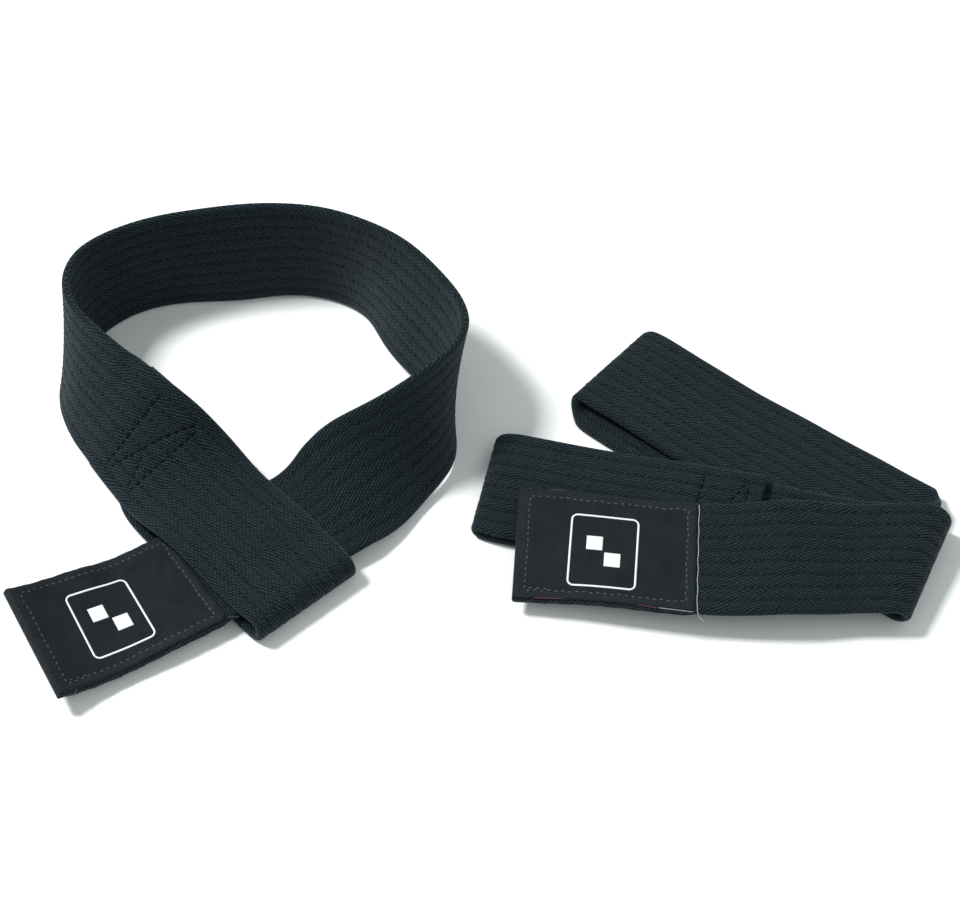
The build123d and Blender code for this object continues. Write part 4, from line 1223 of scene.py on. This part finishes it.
def print_material():
    """White print, a little worn, with the weave showing through."""
    ink = Shader("print_white")
    where, along, across = ink.strap_coordinates()
    worn, full = (0.52, 0.53, 0.54, 1), (0.86, 0.87, 0.87, 1)
    weave = ink.weave(along, across)
    cover = ink.ramp(ink.noise(where, scale=1.2, rough=0.7), 0.25, 0.45)
    cover = ink.plus(cover, ink.times(weave, 0.06), clamp=True)
    return ink.surface({
        "Base Color": ink.mix(cover, worn, full),
        "Roughness": 0.6,
        "Specular IOR Level": 0.3,
        "Normal": ink.bump(weave, distance=0.00005, strength=0.5),
    })


def floor_material():
    floor = Shader("studio_floor")
    cloud = floor.noise(floor.position(), scale=3.0, detail=2.0)
    return floor.surface({
        "Base Color": floor.mix(cloud, (0.93, 0.935, 0.935, 1), (0.95, 0.952, 0.952, 1)),
        "Roughness": 0.9,
        "Specular IOR Level": 0.1,
    })


COVER = cover_material()
QUILT_THREAD = thread_material("quilting_thread", dark=(0.0016, 0.0026, 0.0032),
                               light=(0.0125, 0.0185, 0.0215), sheen=0.02, shine=0.1)
BLACK_THREAD = thread_material("black_thread", dark=(0.0008, 0.0011, 0.0014),
                               light=(0.0055, 0.0075, 0.0090), sheen=0.0, shine=0.06)
GREY_THREAD = thread_material("seam_thread", dark=(0.006, 0.0065, 0.0075),
                              light=(0.120, 0.130, 0.142), sheen=0.05)
PALE_THREAD = thread_material("pale_thread", dark=(0.10, 0.11, 0.115),
                              light=(0.46, 0.49, 0.50), sheen=0.1)
RED_THREAD = thread_material("red_lint", dark=(0.05, 0.008, 0.012),
                             light=(0.19, 0.035, 0.045), sheen=0.2)
PATCH = patch_material()
PRINT = print_material()


# ---------------------------------------------------------------------------
# The two straps and their marks
# ---------------------------------------------------------------------------
def mirrored(strokes, centre_sum):
    """Strokes repeated on the layer beyond the eye's fold."""
    return [(centre_sum - start, start_across, centre_sum - end, end_across)
            for start, start_across, end, end_across in strokes]


def make_looped():
    strap = Strap([looped_edges(along)
                   for along in np.arange(0, EYE_FOLD_END + EYE_RETURN + 0.01, STATION_STEP)])
    zigzag = [(392.6, -14.5, 393.4, 15.2), (394.4, -14.5, 406.6, 15.0),
              (406.8, -15.2, 408.0, 13.6), (405.2, -14.6, 400.8, -4.0)]
    strap.strokes = zigzag + mirrored(zigzag, EYE_FOLD_END + EYE_FOLD_START)
    loop_creases = ((232, 0.02), (238.5, -0.03), (246, 0.02), (256, 0.0), (263, 0.03),
                    (345, 0.02), (351, -0.02), (358, 0.03), (372, -0.05), (381, 0.04))
    strap.creases = [(place, -0.10, 0.9, slope) for place, slope in loop_creases]
    strap.creases += [(150, -0.12, 1.1, 0.1), (161, -0.1, 1.4, -0.12), (142, -0.08, 1.2, 0.05)]
    strap.pinches = [(EYE_FOLD_START + EYE_FOLD_LENGTH / 2, 7.0, 0.035)]
    return strap


def make_folded():
    """The folded strap, and the start and end of each of its parts along it."""
    chain, spans, run = [], {}, 0.0
    for part, pairs in folded_parts().items():
        start = run
        for pair in pairs:
            if chain:
                run += float(np.linalg.norm(sum(pair) / 2 - sum(chain[-1]) / 2))
            chain.append(pair)
        spans[part] = (start, run)
    strap = Strap(chain)
    scale = strap.length / run
    spans = {part: (start * scale, end * scale) for part, (start, end) in spans.items()}

    end = spans["eye_back"][1]
    zigzag = [(end - 20.0, -14.5, end - 19.2, 15.2), (end - 18.2, -14.5, end - 6.0, 15.0),
              (end - 5.8, -15.2, end - 4.6, 13.6)]
    strap.strokes = zigzag + mirrored(zigzag, sum(spans["eye"]))
    end = spans["upper"][1]
    strap.creases = [(end - 30, -0.12, 1.2, 0.15), (end - 38, -0.10, 1.0, -0.1),
                     (end - 24, -0.1, 1.0, 0.05)]
    strap.pinches = [
        (sum(spans[fold]) / 2, half_length, share)
        for fold, half_length, share in (("right_outer", 6.5, 0.03), ("right_inner", 3.5, 0.03),
                                         ("left", 5.5, 0.085), ("eye", 4.5, 0.06))]
    return strap, spans


def right_fold_hinges(low, high):
    """End points (start, end) for the lower and the upper half of a right fold."""
    crest = RIGHT_FOLD_POINT + RIGHT_FOLD_OUT * (high - low) / 2 + [0, 0, (high + low) / 2]
    bottom, top = at_height(RIGHT_FOLD_POINT, low), at_height(RIGHT_FOLD_POINT, high)
    return (bottom, 2 * crest - bottom), (2 * crest - top, top)


LOOPED = make_looped()
FOLDED, SPANS = make_folded()
MIDS = {part: sum(span) / 2 for part, span in SPANS.items()}

LOOPED_EYE_MOVE = ("looped_eye_end", "looped_back", (-135.5, 20, 22), (-135.5, 41, 22))
LOOPED_BACK_MOVE = ("looped_back", "looped_side", (-46.0, 66.6, 22), (-29.5, 54.4, 22))
LOOPED_TAIL_MOVE = ("looped_side", "looped_tail", (-8.2, 10.6, 21), (-14.6, -4.4, 21))
OUTER_LOW, OUTER_HIGH = right_fold_hinges(LOWER_LEVEL, FRONT_FOLD_LEVEL)
INNER_LOW, INNER_HIGH = right_fold_hinges(UPPER_LEVEL, MIDDLE_LEVEL)
TO_FRONT = ("folded_base", "folded_front")
TO_EYE = ("folded_base", "folded_eye_end")
FOLDED_EYE_MOVE = (*TO_EYE, *INNER_HIGH)

# name, strap, start and end along it, movement, and the plain pieces it stands for
LENGTHS = (
    ("looped_strap_eye", LOOPED, 285.0, LOOPED.length, LOOPED_EYE_MOVE,
     ("looped_eye", "looped_back")),
    ("looped_strap_back", LOOPED, 191.0, 285.0, LOOPED_BACK_MOVE, ("looped_side",)),
    ("looped_strap_tail", LOOPED, 0.0, 191.0, LOOPED_TAIL_MOVE, ("looped_tail",)),
    ("folded_strap_front", FOLDED, 0.0, MIDS["right_outer"], (*TO_FRONT, *OUTER_HIGH),
     ("folded_front",)),
    ("folded_strap_lower", FOLDED, MIDS["right_outer"], MIDS["lower"],
     (*TO_FRONT, *OUTER_LOW), ()),
    ("folded_strap_base", FOLDED, MIDS["lower"], MIDS["upper"], "folded_base",
     ("folded_base",)),
    ("folded_strap_upper", FOLDED, MIDS["upper"], MIDS["right_inner"],
     (*TO_EYE, *INNER_LOW), ()),
    ("folded_strap_eye", FOLDED, MIDS["right_inner"], FOLDED.length, FOLDED_EYE_MOVE,
     ("folded_eye",)),
)


def add_lengths():
    for name, strap, start, end, move, plain in LENGTHS:
        fit(strap_mesh(name + "_length", strap, start, end, COVER), move,
            [f"{piece}_{layer}" for piece in plain for layer in ("cover", "core")])
        # the patch has no quilting under it
        items = quilting_items(start or PATCH_LENGTH + 1.5, end)
        fit(stitches(name + "_quilting", strap, items, QUILT_THREAD, width=0.4, height=0.24),
            move, [piece + "_quilting" for piece in plain])


def add_lock_stitches():
    """Dense black zigzag through both layers of each eye."""
    for prefix, strap, move in (("looped", LOOPED, LOOPED_EYE_MOVE),
                                ("folded", FOLDED, FOLDED_EYE_MOVE)):
        items = []
        for stroke in strap.strokes:
            items += stitch_run(stroke, HALF_THICK - 0.18, length=2.1, gap=0.45, wander=0.06)
        name = prefix + "_eye_lock_stitching"
        fit(stitches(name, strap, items, BLACK_THREAD, width=0.7, height=0.42),
            move, [prefix + "_eye_lock_stitch"])


# ripples: (along, across, angle in radians, height, width, length)
LOOPED_RIPPLES = (
    (47, 9, 0.9, 0.30, 1.5, 7), (44, -6, 2.3, 0.28, 1.6, 8), (50, -12, 1.7, 0.25, 1.4, 6),
    (40, 14, 0.5, 0.22, 1.6, 7), (49, 2, 1.3, 0.26, 1.3, 6), (12, 8, 1.2, 0.10, 2.5, 8),
    (9, -9, 2.0, 0.10, 2.2, 7),
)
FOLDED_RIPPLES = (
    (47, 8, 1.0, 0.10, 2.2, 8), (46, -8, 2.0, 0.10, 2.0, 8), (11, 9, 1.6, 0.10, 2.2, 7),
    (12, -6, 0.6, 0.10, 2.4, 8), (30, 16, 0.1, 0.06, 1.5, 9),
)
LOOPED_MARK = dict(along=25.5, across=-1.2, length=20.6, width=24.6, skew=(0.03, -0.045))
FOLDED_MARK = dict(along=26.9, across=-1.6, length=21.5, width=26.6, skew=(0.02, 0.0))


def seam_items():
    """Patch seam on both faces, with a back-tack at one corner."""
    near, far, side = SEAM_INSET, PATCH_LENGTH - SEAM_INSET, SEAM_PLACE
    items = []
    for face in (1, -1):
        out = face * (PATCH_FACE - 0.07)
        for stroke in ((near, -side, near, side), (far, -side, far, side),
                       (near, side, far, side), (near, -side, far, -side)):
            items += stitch_run(stroke, out, length=1.35, gap=0.75, wander=0.16)
        back_tack = (near + 0.6, -side + 0.7, near + 7.5, -side + 0.9)
        items += stitch_run(back_tack, out, length=1.3, gap=0.8, wander=0.12)
    return items


def add_patches():
    for prefix, strap, body, seed, ripples, mark in (
        ("looped", LOOPED, "looped_tail", 3, LOOPED_RIPPLES, LOOPED_MARK),
        ("folded", FOLDED, "folded_front", 6, FOLDED_RIPPLES, FOLDED_MARK),
    ):
        fit(patch_mesh(prefix + "_patch", strap, PATCH, seed, ripples),
            body, [prefix + "_label"])
        fit(stitches(prefix + "_patch_seam", strap, seam_items(), GREY_THREAD,
                     width=0.40, height=0.34),
            body, [prefix + "_label_seam"])
        fit(print_mesh(prefix + "_patch_print", strap, PRINT, mark, seed, ripples),
            body, [prefix + "_label_mark"])


def add_edge_thread():
    """Pale thread along the inward end of the folded strap's patch, with a loose end."""
    across = np.linspace(18.9, -19.4, 90)
    out = HALF_THICK + 0.10 + 0.20 * np.abs(np.sin(across * 1.15)) - 0.16 * smooth(2, -12, across)
    path = np.stack([PATCH_LENGTH + 0.45 + 0.10 * np.sin(across * 0.9), across, out], 1)
    loose_end = np.array([(0.7, -20.6, -0.1), (1.2, -21.4, -0.9), (2.0, -22.0, -1.5),
                          (2.7, -22.6, -1.7)]) + [PATCH_LENGTH, 0, HALF_THICK]
    fit(thread_tube("folded_patch_edge_thread", FOLDED, np.vstack([path, loose_end]),
                    0.14, PALE_THREAD, ring=7),
        "folded_front", ["folded_label_edge_thread"])


# Stray ends of thread at the patches' edges. Start is (along, across, height over the cloth's
# outer face). Columns: name, start, direction, length, radius, material
STRAYS = (
    ("folded_stray_thread_1", (6.0, -19.75, 0.35), (1, 0.02, 0.0), 9.0, 0.10, RED_THREAD),
    ("folded_stray_thread_2", (38.0, -19.7, 0.2), (1, -0.03, 0.0), 6.0, 0.10, RED_THREAD),
    ("folded_stray_thread_3", (44.5, -19.8, 0.1), (1, -0.02, -0.02), 11.0, 0.12, PALE_THREAD),
    ("folded_stray_thread_4", (9.0, 19.7, 0.3), (1, 0.05, 0.0), 5.0, 0.08, GREY_THREAD),
    ("looped_stray_thread_1", (5.0, -19.7, 0.3), (-0.6, -0.6, -0.1), 3.2, 0.10, GREY_THREAD),
    ("looped_stray_thread_2", (55.8, -19.6, 0.2), (0.7, -0.35, -0.1), 3.4, 0.10, GREY_THREAD),
)


def add_strays():
    part = np.linspace(0, 1, 16)
    for seed, (name, start, direction, length, radius, material) in enumerate(STRAYS, 1):
        folded = name.startswith("folded")
        draw = np.random.default_rng(seed)
        wander = np.cumsum(draw.normal(0, 0.09, len(part))) * 0.35
        way = unit(direction) * length
        path = np.stack([
            start[0] + way[0] * part + wander,
            start[1] + way[1] * part,
            HALF_THICK + start[2] + way[2] * part * part + 0.12 * np.sin(part * 4)], 1)
        fit(thread_tube(name, FOLDED if folded else LOOPED, path, radius, material, ring=6),
            "folded_front" if folded else "looped_tail")


add_lengths()
add_lock_stitches()
add_patches()
add_edge_thread()
add_strays()

# ---------------------------------------------------------------------------
# Floor, light, camera: metres
# ---------------------------------------------------------------------------
FLOOR_HALF = 6.0
FLOOR_LEVEL = -0.00012    # just under the straps


def add_floor():
    mesh = bpy.data.meshes.new("studio_floor")
    corners = [(x * FLOOR_HALF, y * FLOOR_HALF, FLOOR_LEVEL)
               for x, y in ((-1, -1), (1, -1), (1, 1), (-1, 1))]
    mesh.from_pydata(corners, [], [(0, 1, 2, 3)])
    mesh.materials.append(floor_material())
    link_object("studio_floor", mesh)


def add_world():
    world = bpy.data.worlds.new("studio")
    bpy.context.scene.world = world
    world.use_nodes = True
    background = world.node_tree.nodes["Background"]
    background.inputs["Color"].default_value = (0.91, 1.0, 0.99, 1)
    background.inputs["Strength"].default_value = 0.46


def add_area_light(name, location, side, power, colour):
    """Square light aimed at the origin."""
    data = bpy.data.lights.new(name, "AREA")
    data.shape = "RECTANGLE"
    data.size = data.size_y = side
    data.energy = power
    data.color = colour
    light = link_object(name, data)
    light.location = location
    light.rotation_euler = (-Vector(location)).to_track_quat("-Z", "Y").to_euler()


def add_camera():
    data = bpy.data.cameras.new("camera")
    data.sensor_width = 36.0
    data.lens = 97.5075
    data.clip_start = 0.01
    camera = link_object("camera", data)
    camera.location = (SHIFT[0] / 1000.0, -0.5459 + SHIFT[1] / 1000.0, 0.6506)
    camera.rotation_euler = (math.radians(40.0), 0, 0)
    bpy.context.scene.camera = camera


add_floor()
add_world()
add_area_light("key", location=(-0.97, 0.27, 1.45), side=0.34, power=31.0,
               colour=(1.0, 1.0, 1.0))
add_area_light("fill", location=(0.9, -0.9, 1.2), side=1.4, power=5.5,
               colour=(0.94, 0.99, 1.0))
add_camera()
bpy.context.scene.view_settings.view_transform = "Standard"
bpy.context.scene.view_settings.look = "None"
